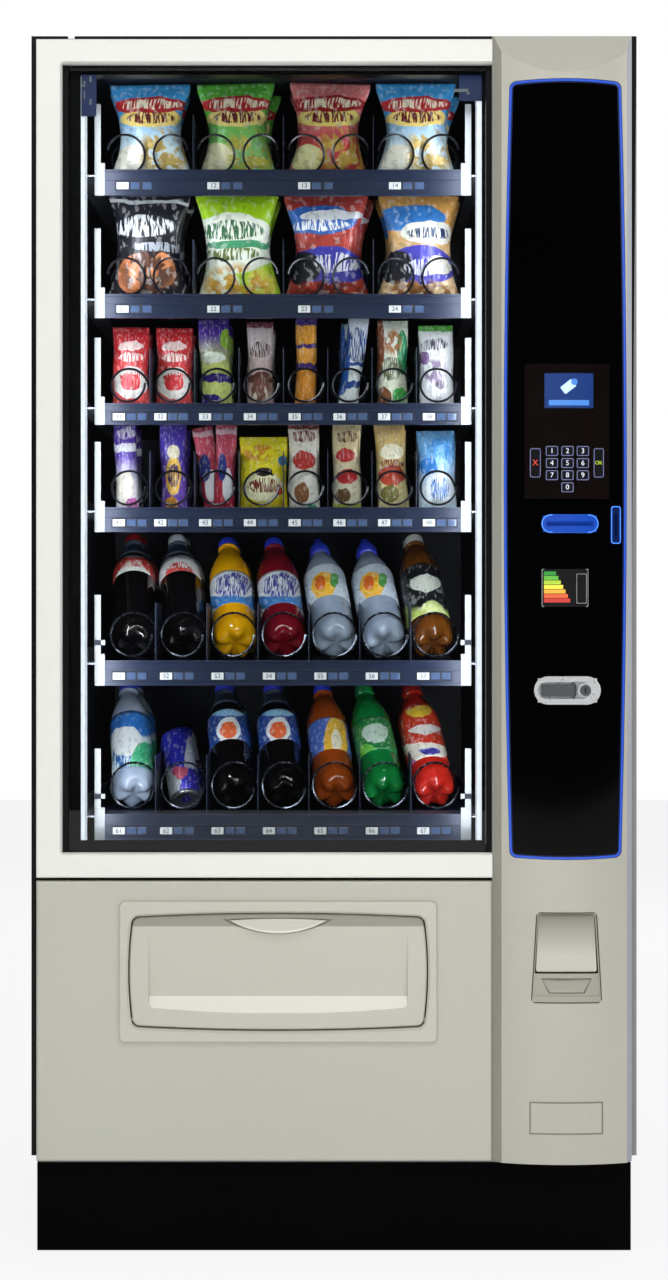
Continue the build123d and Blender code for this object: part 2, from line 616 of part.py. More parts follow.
def finger_lip():
    """The lip that the fingers pull: a crescent in plan, with a sloping top."""
    reach, radius = 15.0, 195.0
    disc = rod_z(HATCH_X, FLAP_Y - reach + radius, (480, 508), radius)
    wedge = prism_x(
        [
            (FLAP_Y + 5, 482),
            (FLAP_Y - 13, 482),
            (FLAP_Y - reach - 1, 487),
            (FLAP_Y - 1, 505),
            (FLAP_Y + 5, 506),
        ],
        (HATCH_X - 90, HATCH_X + 90),
    )
    return disc & wedge & prism_y(lens(72, 502.5, 505, 485), (FLAP_Y - 20, FLAP_Y + 5))


# --- payment column -------------------------------------------------------------------------------
COVER = 4.0
FACET_TOP = 1766.0
FASCIA_X = 345.0
FASCIA_LOW = 595.0
FASCIA_HIGH = 1757.0
LIGHT_WIDTH = 6.0
RETURN_LOW = 382.0
RETURN_HIGH = 517.0
RETURN_X = 346.0
RETURN_WALL = 3.0


def column_solid(inset, z):
    """The column's solid outline, shrunk by the cover's thickness when inset."""
    shoulder = CREST_Y + ARC_RISE + inset
    edge = TRIM_Y + 2 + inset
    left, right = COLUMN_LEFT + inset, COLUMN_RIGHT - inset
    left_crest, right_crest = COLUMN_LEFT + 13, COLUMN_RIGHT - 9
    lines = [
        Polyline((left, SHELL_Y), (left, edge), (left_crest, shoulder)),
        ThreePointArc((left_crest, shoulder), (COLUMN_MID, CREST_Y + inset), (right_crest, shoulder)),
        Polyline((right_crest, shoulder), (right, edge), (right, SHELL_Y), (left, SHELL_Y)),
    ]
    solid = Pos(0, 0, z[0]) * extrude(make_face(Curve() + lines), z[1] - z[0])
    top = HEIGHT - 4
    slope = prism_x(
        [
            (CREST_Y - 1, FACET_TOP - inset),
            (CREST_Y + inset, FACET_TOP - inset),
            (TRIM_Y + inset, top),
            (TRIM_Y + inset, top + 10),
            (CREST_Y - 1, top + 10),
        ],
        (COLUMN_LEFT - 10, COLUMN_RIGHT + 10),
    )
    return solid - slope


def fascia_outline(grow):
    """The fascia's barrel shape, made larger or smaller all round."""
    mid = (FASCIA_LOW + FASCIA_HIGH) / 2
    half = (FASCIA_HIGH - FASCIA_LOW) / 2 - 3
    return barrel(FASCIA_X, mid, 83.5 + grow, half + grow, 8.5, 3, 11 + grow)


def return_outline(grow):
    """The coin return's opening: narrower at the top, with rounded upper corners."""
    points = [
        (RETURN_X - 53 - grow, RETURN_LOW - grow),
        (RETURN_X + 53 + grow, RETURN_LOW - grow),
        (RETURN_X + 45 + grow, RETURN_HIGH + grow),
        (RETURN_X - 45 - grow, RETURN_HIGH + grow),
    ]
    return fillet(make_face(Polyline(*points, close=True)).vertices(), 7 + grow)


def column():
    """Moulded cover with the fascia window, the coin return window and an empty name-plate frame."""
    top = HEIGHT - 4
    cover = column_solid(0, (TRIM_BOTTOM + 1, top))
    cover -= column_solid(COVER, (TRIM_BOTTOM + 1 + COVER, top - COVER))
    through = (CREST_Y - 5, SHELL_Y - 6)
    cover -= prism_y(fascia_outline(0), through)
    cover -= prism_y(return_outline(0.3), through)
    plate = Pos(345.5, 211) * Rectangle(110, 49)
    plate -= Pos(345.5, 211) * Rectangle(105, 44)
    groove = prism_y(plate, through) & arc_layer((-1, 1.2), (180, 240))
    write("column_cover", cover - groove)

    layer_z = (FASCIA_LOW - 5, FASCIA_HIGH + 5)
    ring = prism_y(fascia_outline(0) - fascia_outline(-LIGHT_WIDTH), through)
    write("light_ring", ring & arc_layer((1.5, FASCIA_BACK), layer_z))

    pad_box = block((PAD_LOW[0], PAD_HIGH[0]), through, (PAD_LOW[1], PAD_HIGH[1]))
    fascia = prism_y(fascia_outline(-LIGHT_WIDTH), through) & arc_layer((FASCIA_DEPTH, FASCIA_BACK), layer_z)
    fascia -= pad_box
    for size in (NOTE_HOLE, COIN_HOLE, LOCK_HOLE):
        fascia -= block(size[0], through, size[1])
    write("fascia_panel", fascia)

    pad = arc_layer((FASCIA_DEPTH - 0.5, FASCIA_BACK), (PAD_LOW[1], PAD_HIGH[1])) & pad_box
    screen_x, screen_z = (313.0, 386.0), (1267.0, 1319.0)
    pad -= block(screen_x, through, screen_z)
    for x in KEY_COLUMNS:
        for z in KEY_ROWS:
            if z > KEY_ROWS[-1] or x == KEY_COLUMNS[1]:
                pad -= key_hole((x - KEY_WIDTH / 2, x + KEY_WIDTH / 2), (z - KEY_HEIGHT / 2, z + KEY_HEIGHT / 2))
    pad -= key_hole(CANCEL_X, SIDE_KEY_Z)
    pad -= key_hole(CONFIRM_X, SIDE_KEY_Z)
    write("keypad_bezel", pad)
    screen = arc_layer((FASCIA_DEPTH + 0.5, FASCIA_BACK + 4), screen_z)
    write("display_screen", screen & block(screen_x, through, screen_z))


def key_hole(x, z):
    """The clear hole that a key slides in."""
    return block(
        (x[0] - KEY_GAP, x[1] + KEY_GAP), (CREST_Y - 5, SHELL_Y - 6), (z[0] - KEY_GAP, z[1] + KEY_GAP)
    )


def keys():
    """Ten number keys and the two tall side keys; each has a flange that stops behind the bezel."""
    number = 1
    for z in KEY_ROWS[:3]:
        for x in KEY_COLUMNS:
            key(f"key_{number}", (x - KEY_WIDTH / 2, x + KEY_WIDTH / 2), z, KEY_HEIGHT)
            number += 1
    x = KEY_COLUMNS[1]
    key("key_0", (x - KEY_WIDTH / 2, x + KEY_WIDTH / 2), KEY_ROWS[-1], KEY_HEIGHT)
    side_mid = (SIDE_KEY_Z[0] + SIDE_KEY_Z[1]) / 2
    side_height = SIDE_KEY_Z[1] - SIDE_KEY_Z[0]
    key("key_cancel", CANCEL_X, side_mid, side_height)
    key("key_confirm", CONFIRM_X, side_mid, side_height)


def key(name, x, z, height):
    """A cap flush with the bezel's arc, with rounded corners and a flange behind."""
    mid = (x[0] + x[1]) / 2
    front = arc_y(mid, FASCIA_DEPTH - 0.5) - 1.2
    face = Pos(mid, z) * RectangleRounded(x[1] - x[0], height, 2.5)
    cap = prism_y(face, (front, front + 9.5))
    cap = fillet(cap.faces().sort_by(Axis.Y)[0].edges(), 0.6)
    flange = Pos(mid, z) * Rectangle(x[1] - x[0] + 2, height)
    write(name, cap + prism_y(flange, (front + 8, front + 9.5)))


NOTE_HOLE = ((311.0, 391.0), (1083.0, 1107.0))
COIN_HOLE = ((414.0, 426.5), (1067.0, 1120.0))
LOCK_HOLE = ((303.0, 391.0), (829.0, 865.0))


def payment():
    """Note reader, coin slot, and the moulded coin return with its hanging flap."""
    mouth_x, mouth_z = (316.0, 386.0), (1091.5, 1098.5)
    rim = Pos(351, 1095) * SlotOverall(84, 27)
    body = arc_layer((0.4, FASCIA_DEPTH), (1080, 1110)) & prism_y(rim, (CREST_Y, SHELL_Y))
    neck = block(NOTE_HOLE[0], (CREST_Y + 2, -412), NOTE_HOLE[1])
    neck &= arc_layer((FASCIA_DEPTH, 60), (1080, 1110))
    head = block((308, 394), (-412, -352), (1050, 1112))
    mouth = block(mouth_x, (CREST_Y - 1, -385), mouth_z)
    write("note_reader", body + neck + head - mouth)

    rim = Pos(420.2, 1093.5) * RectangleRounded(15, 56, 4)
    plate = arc_layer((0.8, FASCIA_DEPTH), (1060, 1125)) & prism_y(rim, (CREST_Y, SHELL_Y))
    neck = block(COIN_HOLE[0], (CREST_Y, -405), COIN_HOLE[1]) & arc_layer((FASCIA_DEPTH, 60), (1060, 1125))
    slit = block((418.6, 421.8), (CREST_Y - 1, -408), (1077, 1110))
    write("coin_slot", plate + neck - slit)

    coin_return()


def coin_return():
    """The coin return: a cup with a curved sill, a finger pocket and a lip, and its hanging flap."""
    cup_front = CREST_Y + 5
    cup_back = -362.0
    outer = prism_y(return_outline(0), (cup_front, cup_back))
    inner = prism_y(return_outline(-RETURN_WALL), (cup_front - 1, cup_back - RETURN_WALL))
    opening = prism_y(return_outline(-0.2), (CREST_Y - 1, cup_front + 10))
    sill = arc_layer((2.5, 9), (RETURN_LOW, 425.5)) & opening
    lip = arc_layer((0.3, 7), (RETURN_LOW + 1.5, RETURN_LOW + 10.5)) & opening
    pocket_edge = Polyline(
        (RETURN_X - 26, 397),
        (RETURN_X + 26, 397),
        (RETURN_X + 37, 418),
        (RETURN_X - 37, 418),
        close=True,
    )
    sill_front = CREST_Y + 2.5
    pocket = prism_x([(sill_front - 1, 418), (sill_front + 4, 418), (sill_front - 1, 396)], (300, 392))
    pocket &= prism_y(fillet(make_face(pocket_edge).vertices(), 3), (CREST_Y, CREST_Y + 12))
    cup = (outer - inner) + ((sill - pocket) + lip)
    axis_z = RETURN_HIGH - 6
    flap_y = cup_front + 4.5
    bore = rod_x((RETURN_X - 48, RETURN_X + 48), flap_y, axis_z, 1.5 + RUNNING)
    write("coin_return_cup", cup - bore)
    leaf_edge = Polyline(
        (RETURN_X - 45.2, 428),
        (RETURN_X + 45.2, 428),
        (RETURN_X + 41.3, axis_z + 2.3),
        (RETURN_X - 41.3, axis_z + 2.3),
        close=True,
    )
    leaf = prism_y(fillet(make_face(leaf_edge).vertices(), 3.4), (flap_y - 1.3, flap_y + 1.3))
    barrel_rod = rod_x((RETURN_X - 37, RETURN_X + 37), flap_y, axis_z, 2.3)
    pin = rod_x((RETURN_X - 44.5, RETURN_X + 44.5), flap_y, axis_z, 1.5)
    write("coin_return_flap", leaf + barrel_rod + pin)


LOCK_X = (297.5, 396.5)
LOCK_Z = 847.0
LEVER_AXIS = (357.0, -436.0)
PLUG_X = 374.0


def lock():
    """Recessed lock: a die-cast bezel, a fold-out lever and the key cylinder beside it."""
    rim = Pos((LOCK_X[0] + LOCK_X[1]) / 2, LOCK_Z) * SlotOverall(LOCK_X[1] - LOCK_X[0], 42)
    front = CREST_Y + 0.5
    flange = prism_y(rim, (front, front + 9)) - arc_block(FASCIA_DEPTH)
    neck = block(LOCK_HOLE[0], (front + 2, -415), LOCK_HOLE[1])
    body = flange + neck
    body = body - prism_y(Pos(342, LOCK_Z) * SlotOverall(79, 25), (front - 1, front + 15))
    cylinder = rod_y(PLUG_X, (front + 4, -400), LOCK_Z, 11.4)
    body += cylinder
    body -= rod_y(PLUG_X, (front, -399), LOCK_Z, 8 + RUNNING)
    pivot = rod_z(LEVER_AXIS[0], LEVER_AXIS[1], (LOCK_Z - 15, LOCK_Z + 15), 1.6)
    socket = rod_z(LEVER_AXIS[0], LEVER_AXIS[1], (LOCK_Z - 15.2, LOCK_Z + 15.2), 1.6 + RUNNING)
    write("lock_bezel", body - socket)
    bar = block((309, 357), (-440.5, -434.5), (LOCK_Z - 9, LOCK_Z + 9))
    bar = fillet(bar.edges().filter_by(Axis.Y), 4)
    knuckle = rod_z(LEVER_AXIS[0], LEVER_AXIS[1], (LOCK_Z - 9, LOCK_Z + 9), 4)
    write("lock_lever", bar + knuckle + pivot)
    plug = rod_y(PLUG_X, (front + 1, -402), LOCK_Z, 8)
    keyway = block((PLUG_X - 0.9, PLUG_X + 0.9), (front, front + 12), (LOCK_Z - 4, LOCK_Z + 4))
    cam = block((PLUG_X - 6, PLUG_X + 6), (-399, -396), (LOCK_Z - 30, LOCK_Z + 6))
    tail = rod_y(PLUG_X, (-402, -396), LOCK_Z, 6)
    write("lock_plug", plug - keyway + tail + cam)


def arc_block(depth):
    """Everything behind that depth of the column's arc, beside the lock."""
    return rod_z(COLUMN_MID, ARC_CENTRE_Y, (LOCK_Z - 40, LOCK_Z + 40), ARC_RADIUS - depth)


def led_strips():
    """Two upright light strips behind the glazing."""
    z = (GLASS_BOTTOM + REBATE + 1, GLASS_TOP - REBATE - 2)
    left = GLASS_LEFT + 8 + REBATE
    strips = [block((left, left + 13), (REBATE_Y + 4, DOOR_BACK - 6), z)]
    strips.append(block((GLASS_RIGHT - 13, GLASS_RIGHT - 4), (REBATE_Y + 4, DOOR_BACK - 6), z))
    strips.append(block((GLASS_RIGHT - 4, GLASS_RIGHT), (REBATE_Y + 8, DOOR_BACK - 10), z))
    write("led_strips", *strips)


# --- trays and coils ------------------------------------------------------------------------------
def tray(name, top, height, selections, pitch, twin, radius, turns):
    """Pan with side walls, dividers, price rail, end brackets and a motor behind each selection."""
    low = top - height
    pan_z = (top, top + SHEET)
    wall_top = top + 40
    bracket_top = top + 107
    rail_y = (TRAY_FRONT, TRAY_FRONT + 6)
    pan = block((TRAY_LEFT, TRAY_RIGHT), (rail_y[1], TRAY_BACK), pan_z)
    left = block((TRAY_LEFT, TRAY_LEFT + SHEET), (rail_y[1], TRAY_BACK), (pan_z[1], wall_top))
    right = block((TRAY_RIGHT - SHEET, TRAY_RIGHT), (rail_y[1], TRAY_BACK), (pan_z[1], wall_top))
    hems = [
        block((TRAY_LEFT - 13, TRAY_LEFT), (-200, 335), pan_z),
        block((TRAY_RIGHT, TRAY_RIGHT + 10), (-200, 335), pan_z),
    ]
    rail = block((TRAY_LEFT + 16, TRAY_RIGHT - 16), rail_y, (low, top + 4))
    brackets = []
    for end, side in ((TRAY_LEFT, 1), (TRAY_RIGHT, -1)):
        wide = sorted((end, end + side * 16))
        slim = sorted((end, end + side * 9.6))
        tie = sorted((end, end + side * SHEET))
        plate = block(wide, (rail_y[0] - 1.5, rail_y[1] - 3), (low, top + 14))
        plate += block(slim, (rail_y[0] - 1.5, rail_y[0] + 1.5), (top + 14, bracket_top))
        plate += block(tie, (rail_y[0] - 1.5, rail_y[1]), (low, wall_top))
        brackets.append(plate)
    solids = [pan, left, right, rail, *hems, *brackets]
    first = TRAY_MID - (selections - 1) / 2 * pitch
    for index in range(selections - 1):
        x = first + (index + 0.5) * pitch
        solids.append(block((x - 0.5, x + 0.5), (-225, 295), (pan_z[1], top + 95)))
    centre_z = coil_height(top, radius)
    for index in range(selections):
        x = first + index * pitch
        half = 14 + (twin - 1) * TWIN_HALF
        solids.append(block((x - half, x + half), (MOTOR_Y, MOTOR_Y + 26), (pan_z[1], centre_z + 14)))
    write(name, *solids)


def coil_height(top, radius):
    """The height of a coil's axis over its tray."""
    return top + radius + 8


def coil(x, z, radius, turns, left_of_pair=False, right_handed=True):
    """A spiral of six-sided spring wire along Y with its spoke and drive hub at the back. The left
    coil of a pair starts at the other side, so that the two mirror each other."""
    path_radius = radius - WIRE_RADIUS
    front_y = TRAY_FRONT + 16
    helix = Helix(
        pitch=COIL_LENGTH / turns, height=COIL_LENGTH, radius=path_radius, lefthand=not right_handed
    )
    section = Plane(origin=helix @ 0, z_dir=helix % 0) * RegularPolygon(WIRE_RADIUS, 6)
    start = Rot(0, 180, 0) if left_of_pair else Rot(0, 0, 0)
    wire = Pos(x, front_y, z) * start * Rot(-90, 0, 0) * sweep(section, path=helix, is_frenet=True)
    spoke_y = front_y + COIL_LENGTH
    side = -1 if left_of_pair else 1
    span = sorted((x - side, x + side * (path_radius + 1)))
    spoke = rod_x(span, spoke_y + 1.5, z, WIRE_RADIUS + 0.4)
    hub = rod_y(x, (spoke_y - 3, MOTOR_Y), z, 9)
    return wire + spoke + hub


def coils():
    """Every tray's coils; one coil of the third tray is a part of its own, so that it can turn."""
    for name, top, height, selections, pitch, twin, radius, turns in TRAYS:
        first = TRAY_MID - (selections - 1) / 2 * pitch
        z = coil_height(top, radius)
        made = []
        for index in range(selections):
            x = first + index * pitch
            if twin == 2:
                made.append(coil(x - TWIN_HALF, z, radius, turns, left_of_pair=True))
                made.append(coil(x + TWIN_HALF, z, radius, turns, right_handed=False))
            else:
                made.append(coil(x, z, radius, turns))
        number = name.split("_")[1]
        if number == "3":
            write("drive_coil", made.pop(2))
        write(f"coils_{number}", *made)


os.makedirs("parts", exist_ok=True)
side_panels()
top_and_back()
base()
liner()
tray_runners()
delivery_chute()
cooling()
coin_mechanism()
hinges()
door_shell()
glass_frame()
lower_panel()
hatch()
column()
keys()
payment()
lock()
led_strips()
for row in TRAYS:
    tray(*row)
coils()
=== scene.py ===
import math
import random

import bmesh
import bpy
from mathutils import Matrix, Vector


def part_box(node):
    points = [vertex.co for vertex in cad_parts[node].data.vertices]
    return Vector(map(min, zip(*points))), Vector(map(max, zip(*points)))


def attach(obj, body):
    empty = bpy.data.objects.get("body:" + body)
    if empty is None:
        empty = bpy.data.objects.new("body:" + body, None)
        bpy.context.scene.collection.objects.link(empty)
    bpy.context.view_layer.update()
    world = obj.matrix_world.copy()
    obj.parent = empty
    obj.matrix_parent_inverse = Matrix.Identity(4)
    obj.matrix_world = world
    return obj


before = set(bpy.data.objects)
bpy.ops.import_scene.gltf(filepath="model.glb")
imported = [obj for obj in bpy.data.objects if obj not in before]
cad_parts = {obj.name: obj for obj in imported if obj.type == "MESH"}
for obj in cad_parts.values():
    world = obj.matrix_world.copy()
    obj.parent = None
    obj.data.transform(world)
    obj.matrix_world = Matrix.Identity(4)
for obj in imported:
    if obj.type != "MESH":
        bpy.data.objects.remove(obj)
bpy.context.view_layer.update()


# --- Floor, backdrop, light and camera -----------------------------------------------------------
# A pale seamless floor, soft studio boxes round the machine, and a long lens at chest height.
def linear(code):
    """An sRGB hex colour as the linear colour that shaders and lamps take."""
    parts = [int(code[i : i + 2], 16) / 255 for i in (1, 3, 5)]
    return tuple(c / 12.92 if c <= 0.04045 else ((c + 0.055) / 1.055) ** 2.4 for c in parts) + (1.0,)


def add_node(tree, kind, settings=None, links=None):
    """Adds one node; settings go to its sockets or properties, links feed its sockets."""
    node = tree.nodes.new(kind)
    for name, value in (settings or {}).items():
        if isinstance(name, str) and hasattr(node, name):
            setattr(node, name, value)
        else:
            node.inputs[name].default_value = value
    for name, (source, output) in (links or {}).items():
        tree.links.new(source.outputs[output], node.inputs[name])
    return node


def new_material(name, **sockets):
    """A material of one Principled shader, with its plain sockets set by name."""
    material = bpy.data.materials.new(name)
    material.use_nodes = True
    shader = material.node_tree.nodes["Principled BSDF"]
    for socket, value in sockets.items():
        shader.inputs[socket.replace("_", " ")].default_value = value
    return material, material.node_tree, shader


def blend_of(tree, low, high, factor):
    """A colour between two others, by the (node, output) given as factor."""
    return add_node(
        tree, "ShaderNodeMix", {"data_type": "RGBA", 6: linear(low), 7: linear(high)}, {0: factor}
    )


def ranged(tree, value, low, high):
    """A (node, output) between 0 and 1, moved to between low and high."""
    return add_node(tree, "ShaderNodeMapRange", {"To Min": low, "To Max": high}, {"Value": value})


def share_of(tree, value, low, high):
    """0 to 1 while a value's (node, output) goes from low to high."""
    return add_node(tree, "ShaderNodeMapRange", {"From Min": low, "From Max": high}, {"Value": value})


def mixed(tree, base, colour, mask):
    """Lays one flat colour over a colour node's output, through a mask."""
    return add_node(tree, "ShaderNodeMix", {"data_type": "RGBA", 7: linear(colour)}, {0: mask, 6: base})


def maths(tree, operation, values=None, links=None):
    """One maths node."""
    return add_node(tree, "ShaderNodeMath", {"operation": operation, **(values or {})}, links)


def paint(tree, shader, tone):
    """Makes a colour node the base colour of a shader."""
    tree.links.new(tone.outputs[2], shader.inputs["Base Color"])


def set_bump(tree, shader, height, strength, distance):
    """Lets a height's (node, output) bend the surface of a shader."""
    bump = add_node(tree, "ShaderNodeBump", {"Strength": strength, "Distance": distance}, {"Height": height})
    tree.links.new(bump.outputs["Normal"], shader.inputs["Normal"])


def set_gloss(tree, shader, value, low, high):
    """Lets a value's (node, output) drive the roughness between low and high."""
    gloss = ranged(tree, value, low, high)
    tree.links.new(gloss.outputs["Result"], shader.inputs["Roughness"])


def noise_of(tree, scale, detail, point=None):
    """Soft noise, laid out on a point's (node, output) if one is given."""
    links = {"Vector": point} if point else None
    return add_node(tree, "ShaderNodeTexNoise", {"Scale": scale, "Detail": detail}, links)


def linked(name, data):
    """A new object that holds a mesh, a lamp or a lens, in the scene."""
    piece = bpy.data.objects.new(name, data)
    bpy.context.scene.collection.objects.link(piece)
    return piece


def mesh_piece(name, corners, faces, material, smooth=False):
    """A mesh object from points and faces, in metres."""
    mesh = bpy.data.meshes.new(name)
    mesh.from_pydata([tuple(c) for c in corners], [], faces)
    mesh.validate()
    mesh.materials.append(material)
    if smooth:
        mesh.polygons.foreach_set("use_smooth", [True] * len(mesh.polygons))
    return linked(name, mesh)


world = bpy.data.worlds.new("studio")
bpy.context.scene.world = world
world.use_nodes = True
world_tree = world.node_tree
sky = world_tree.nodes["Background"]
sky.inputs["Color"].default_value = linear("#ffffff")
# Mirror and see-through rays find the white backdrop behind the machine and a dark room before it.
path = add_node(world_tree, "ShaderNodeLightPath")
heading = add_node(world_tree, "ShaderNodeTexCoord")
heading_axes = add_node(world_tree, "ShaderNodeSeparateXYZ", links={"Vector": (heading, "Generated")})
backdrop_side = add_node(
    world_tree, "ShaderNodeMapRange", {"From Min": -0.25, "From Max": 0.15, "To Min": 0.012, "To Max": 1.0},
    {"Value": (heading_axes, "Y")},
)
either = {0: (path, "Is Glossy Ray"), 1: (path, "Is Transmission Ray")}
mirrored = maths(world_tree, "MAXIMUM", links=either)
room = add_node(
    world_tree, "ShaderNodeMix", {"data_type": "FLOAT", 2: 0.30},
    {0: (mirrored, 0), 3: (backdrop_side, "Result")},
)
shown = add_node(
    world_tree, "ShaderNodeMix", {"data_type": "FLOAT", 3: 1.0}, {0: (path, "Is Camera Ray"), 2: (room, 0)}
)
world_tree.links.new(shown.outputs[0], sky.inputs["Strength"])

floor_paint, floor_tree, floor_shader = new_material(
    "pale_floor", Base_Color=linear("#f4f4f2"), Roughness=0.9
)
floor_speckle = noise_of(floor_tree, 3.0, 2.0)
floor_tone = blend_of(floor_tree, "#f6f6f4", "#f0f0ee", (floor_speckle, "Fac"))
paint(floor_tree, floor_shader, floor_tone)
floor_glow = add_node(floor_tree, "ShaderNodeEmission", {"Color": linear("#ffffff"), "Strength": 1.0})
floor_path = add_node(floor_tree, "ShaderNodeLightPath")
floor_share = maths(floor_tree, "MULTIPLY", {1: 0.86}, {0: (floor_path, "Is Camera Ray")})
floor_mix = add_node(
    floor_tree, "ShaderNodeMixShader", links={0: (floor_share, 0), 1: (floor_shader, 0), 2: (floor_glow, 0)}
)
floor_tree.links.new(floor_mix.outputs[0], floor_tree.nodes["Material Output"].inputs["Surface"])
FLOOR_HALF = 9.0
floor = mesh_piece(
    "floor", [(FLOOR_HALF * x, FLOOR_HALF * y, 0) for x, y in ((-1, -1), (1, -1), (1, 1), (-1, 1))],
    [(0, 1, 2, 3)], floor_paint,
)


def soft_box(name, place, target, width, height, watts):
    """A rectangular lamp that faces the target."""
    lamp = bpy.data.lights.new(name, "AREA")
    lamp.shape = "RECTANGLE"
    lamp.size, lamp.size_y = width, height
    lamp.energy = watts
    holder = linked(name, lamp)
    holder.location = place
    aim = Vector(target) - Vector(place)
    holder.rotation_euler = aim.to_track_quat("-Z", "Y").to_euler()
    return holder


# place, target, width, height (metres), watts
soft_box("key_box", (0.4, -3.9, 4.2), (0, -0.4, 0.9), 3.0, 1.3, 62)
front_fill = soft_box("front_fill", (0.1, -4.5, 1.25), (0, -0.4, 0.95), 2.2, 2.0, 84)
front_fill.visible_glossy = front_fill.visible_transmission = False  # flagged off from the glazing
soft_box("left_catch", (-1.35, -2.3, 2.2), (-0.1, -0.2, 0.95), 0.12, 0.9, 4)
soft_box("right_catch", (2.0, -1.9, 2.05), (-0.1, -0.2, 0.95), 0.12, 0.9, 4)
soft_box("left_box", (-3.8, -0.6, 1.8), (0, 0, 0.9), 1.4, 2.6, 5)
soft_box("right_box", (3.8, -0.4, 1.6), (0, 0, 0.9), 1.4, 2.6, 12)
soft_box("rear_box", (0.6, 4.0, 2.6), (0, 0, 0.9), 2.4, 2.0, 45)

camera_data = bpy.data.cameras.new("long_lens")
camera = linked("long_lens", camera_data)
camera.location = (0.0, -3.72, 0.922)
camera.rotation_euler = (math.radians(90), 0, 0)
camera_data.sensor_width = 36.0
camera_data.lens = 62.0
bpy.context.scene.camera = camera
bpy.context.scene.view_settings.view_transform = "Standard"


# --- Cabinet sheets ------------------------------------------------------------------------------
# The sides, roof and rear sheet are folded steel with a dark powder coat: a fine orange-peel
# texture about 1.5 mm across, drawn a little coarser so that it shows, and a soft broad sheen.
def finish_nodes(material, *nodes):
    """Gives CAD nodes one material."""
    for node in nodes:
        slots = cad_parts[node].data.materials
        slots.clear()
        slots.append(material)


def object_point(tree, scale=(1.0, 1.0, 1.0)):
    """The piece's own coordinates, stretched along each axis."""
    place = add_node(tree, "ShaderNodeTexCoord")
    return add_node(tree, "ShaderNodeMapping", {"Scale": scale}, {"Vector": (place, "Object")})


def grain(tree, shader, size_mm, height_mm, roughness, scale=(1.0, 1.0, 1.0), detail=3.0):
    """A surface grain: bump of one size with a little change of gloss."""
    point = object_point(tree, scale)
    noise = noise_of(tree, 1000.0 / size_mm, detail, (point, 0))
    set_bump(tree, shader, (noise, "Fac"), 0.35, height_mm / 1000)
    set_gloss(tree, shader, (noise, "Fac"), *roughness)
    return noise


def tone_drift(tree, shader, low, high, size_mm, scale=(1.0, 1.0, 1.0)):
    """A slow drift between two near colours, as paint and moulding have."""
    point = object_point(tree, scale)
    cloud = noise_of(tree, 1000.0 / size_mm, 2.0, (point, 0))
    tone = blend_of(tree, low, high, (cloud, "Fac"))
    paint(tree, shader, tone)
    return tone


def coated(name, tones, grains=None, **sockets):
    """A finish with a slow drift of tone and, where given, a surface grain.

    tones and grains are what tone_drift and grain take after the shader.
    """
    material, tree, shader = new_material(name, **sockets)
    tone_drift(tree, shader, *tones)
    if grains:
        grain(tree, shader, *grains)
    return material


powder_coat = coated("graphite_powder_coat", ("#3a3a3d", "#434347", 400), (4, 0.5, (0.42, 0.56)))
finish_nodes(powder_coat, "side_panel_left", "side_panel_right", "top_panel")

# The rear sheet is bare galvanised steel, whose zinc grows in pale flat crystals 10 to 20 mm wide.
galvanised, tree, shader = new_material("galvanised_steel", Metallic=0.85)
point = object_point(tree)
crystals = add_node(tree, "ShaderNodeTexVoronoi", {"Scale": 70.0, "Randomness": 1.0}, {"Vector": (point, 0)})
spangle = ranged(tree, (crystals, "Color"), 0.0, 1.0)
paint(tree, shader, blend_of(tree, "#8f9396", "#b2b6b8", (spangle, "Result")))
set_gloss(tree, shader, (crystals, "Color"), 0.34, 0.5)
finish_nodes(galvanised, "back_panel", "tray_runners", "base_deck")


# --- Plinth and feet -----------------------------------------------------------------------------
# Matt black boards clip round the screw feet and hide them; they pick up dust at floor level.
plinth_black = coated(
    "matt_black_plinth", ("#000000", "#020202", 120), (3, 0.3, (0.6, 0.78)), Specular_IOR_Level=0.08
)
finish_nodes(plinth_black, "kick_plate")

zinc_plate = coated("zinc_plated_steel", ("#a5a8a6", "#bcbfba", 18), (2, 0.1, (0.26, 0.4)), Metallic=1.0)
finish_nodes(zinc_plate, "levelling_feet", "cabinet_hinges", "door_hinges")


# --- Door shell ----------------------------------------------------------------------------------
# A welded tube frame in satin black; only its edge shows as a dark line round the silver fronts.
# Beside the column its edge is painted grey, a painted sheen where it catches the light.
shell_black = coated(
    "satin_black_enamel", ("#050506", "#09090a", 300), (5, 0.15, (0.32, 0.42)), Specular_IOR_Level=0.25
)
finish_nodes(shell_black, "door_shell")
# Painted sheen: a grey finish on the black shell's edge stands for the light that it catches.
shell_edge_sheen_paint = coated(
    "black_shell_painted_sheen", ("#78797c", "#858689", 300), (5, 0.15, (0.32, 0.42)), Coat_Weight=0.2,
    Coat_Roughness=0.3,
)
EDGE_X, EDGE_Y = 0.4465, -0.36
shell_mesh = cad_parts["door_shell"].data
shell_mesh.materials.append(shell_edge_sheen_paint)
for polygon in shell_mesh.polygons:
    if polygon.center.x > EDGE_X and polygon.center.y < EDGE_Y:
        polygon.material_index = 1


# --- Glass frame ---------------------------------------------------------------------------------
# Drawn aluminium bars, mitred at the corners and anodised pale champagne: nearly white, with fine
# lines along each bar from the drawing and a soft metallic glow.
def brushed(name, low, high, along, metallic, roughness, line_mm=1.2):
    """Anodised or drawn metal whose lines run along one axis."""
    material, tree, shader = new_material(name, Metallic=metallic)
    stretch = [1.0, 1.0, 1.0]
    stretch[along] = 0.02
    point = object_point(tree, stretch)
    lines = noise_of(tree, 1000.0 / line_mm, 3.0, (point, 0))
    paint(tree, shader, blend_of(tree, low, high, (lines, "Fac")))
    set_bump(tree, shader, (lines, "Fac"), 0.12, 0.0002)
    set_gloss(tree, shader, (lines, "Fac"), *roughness)
    return material


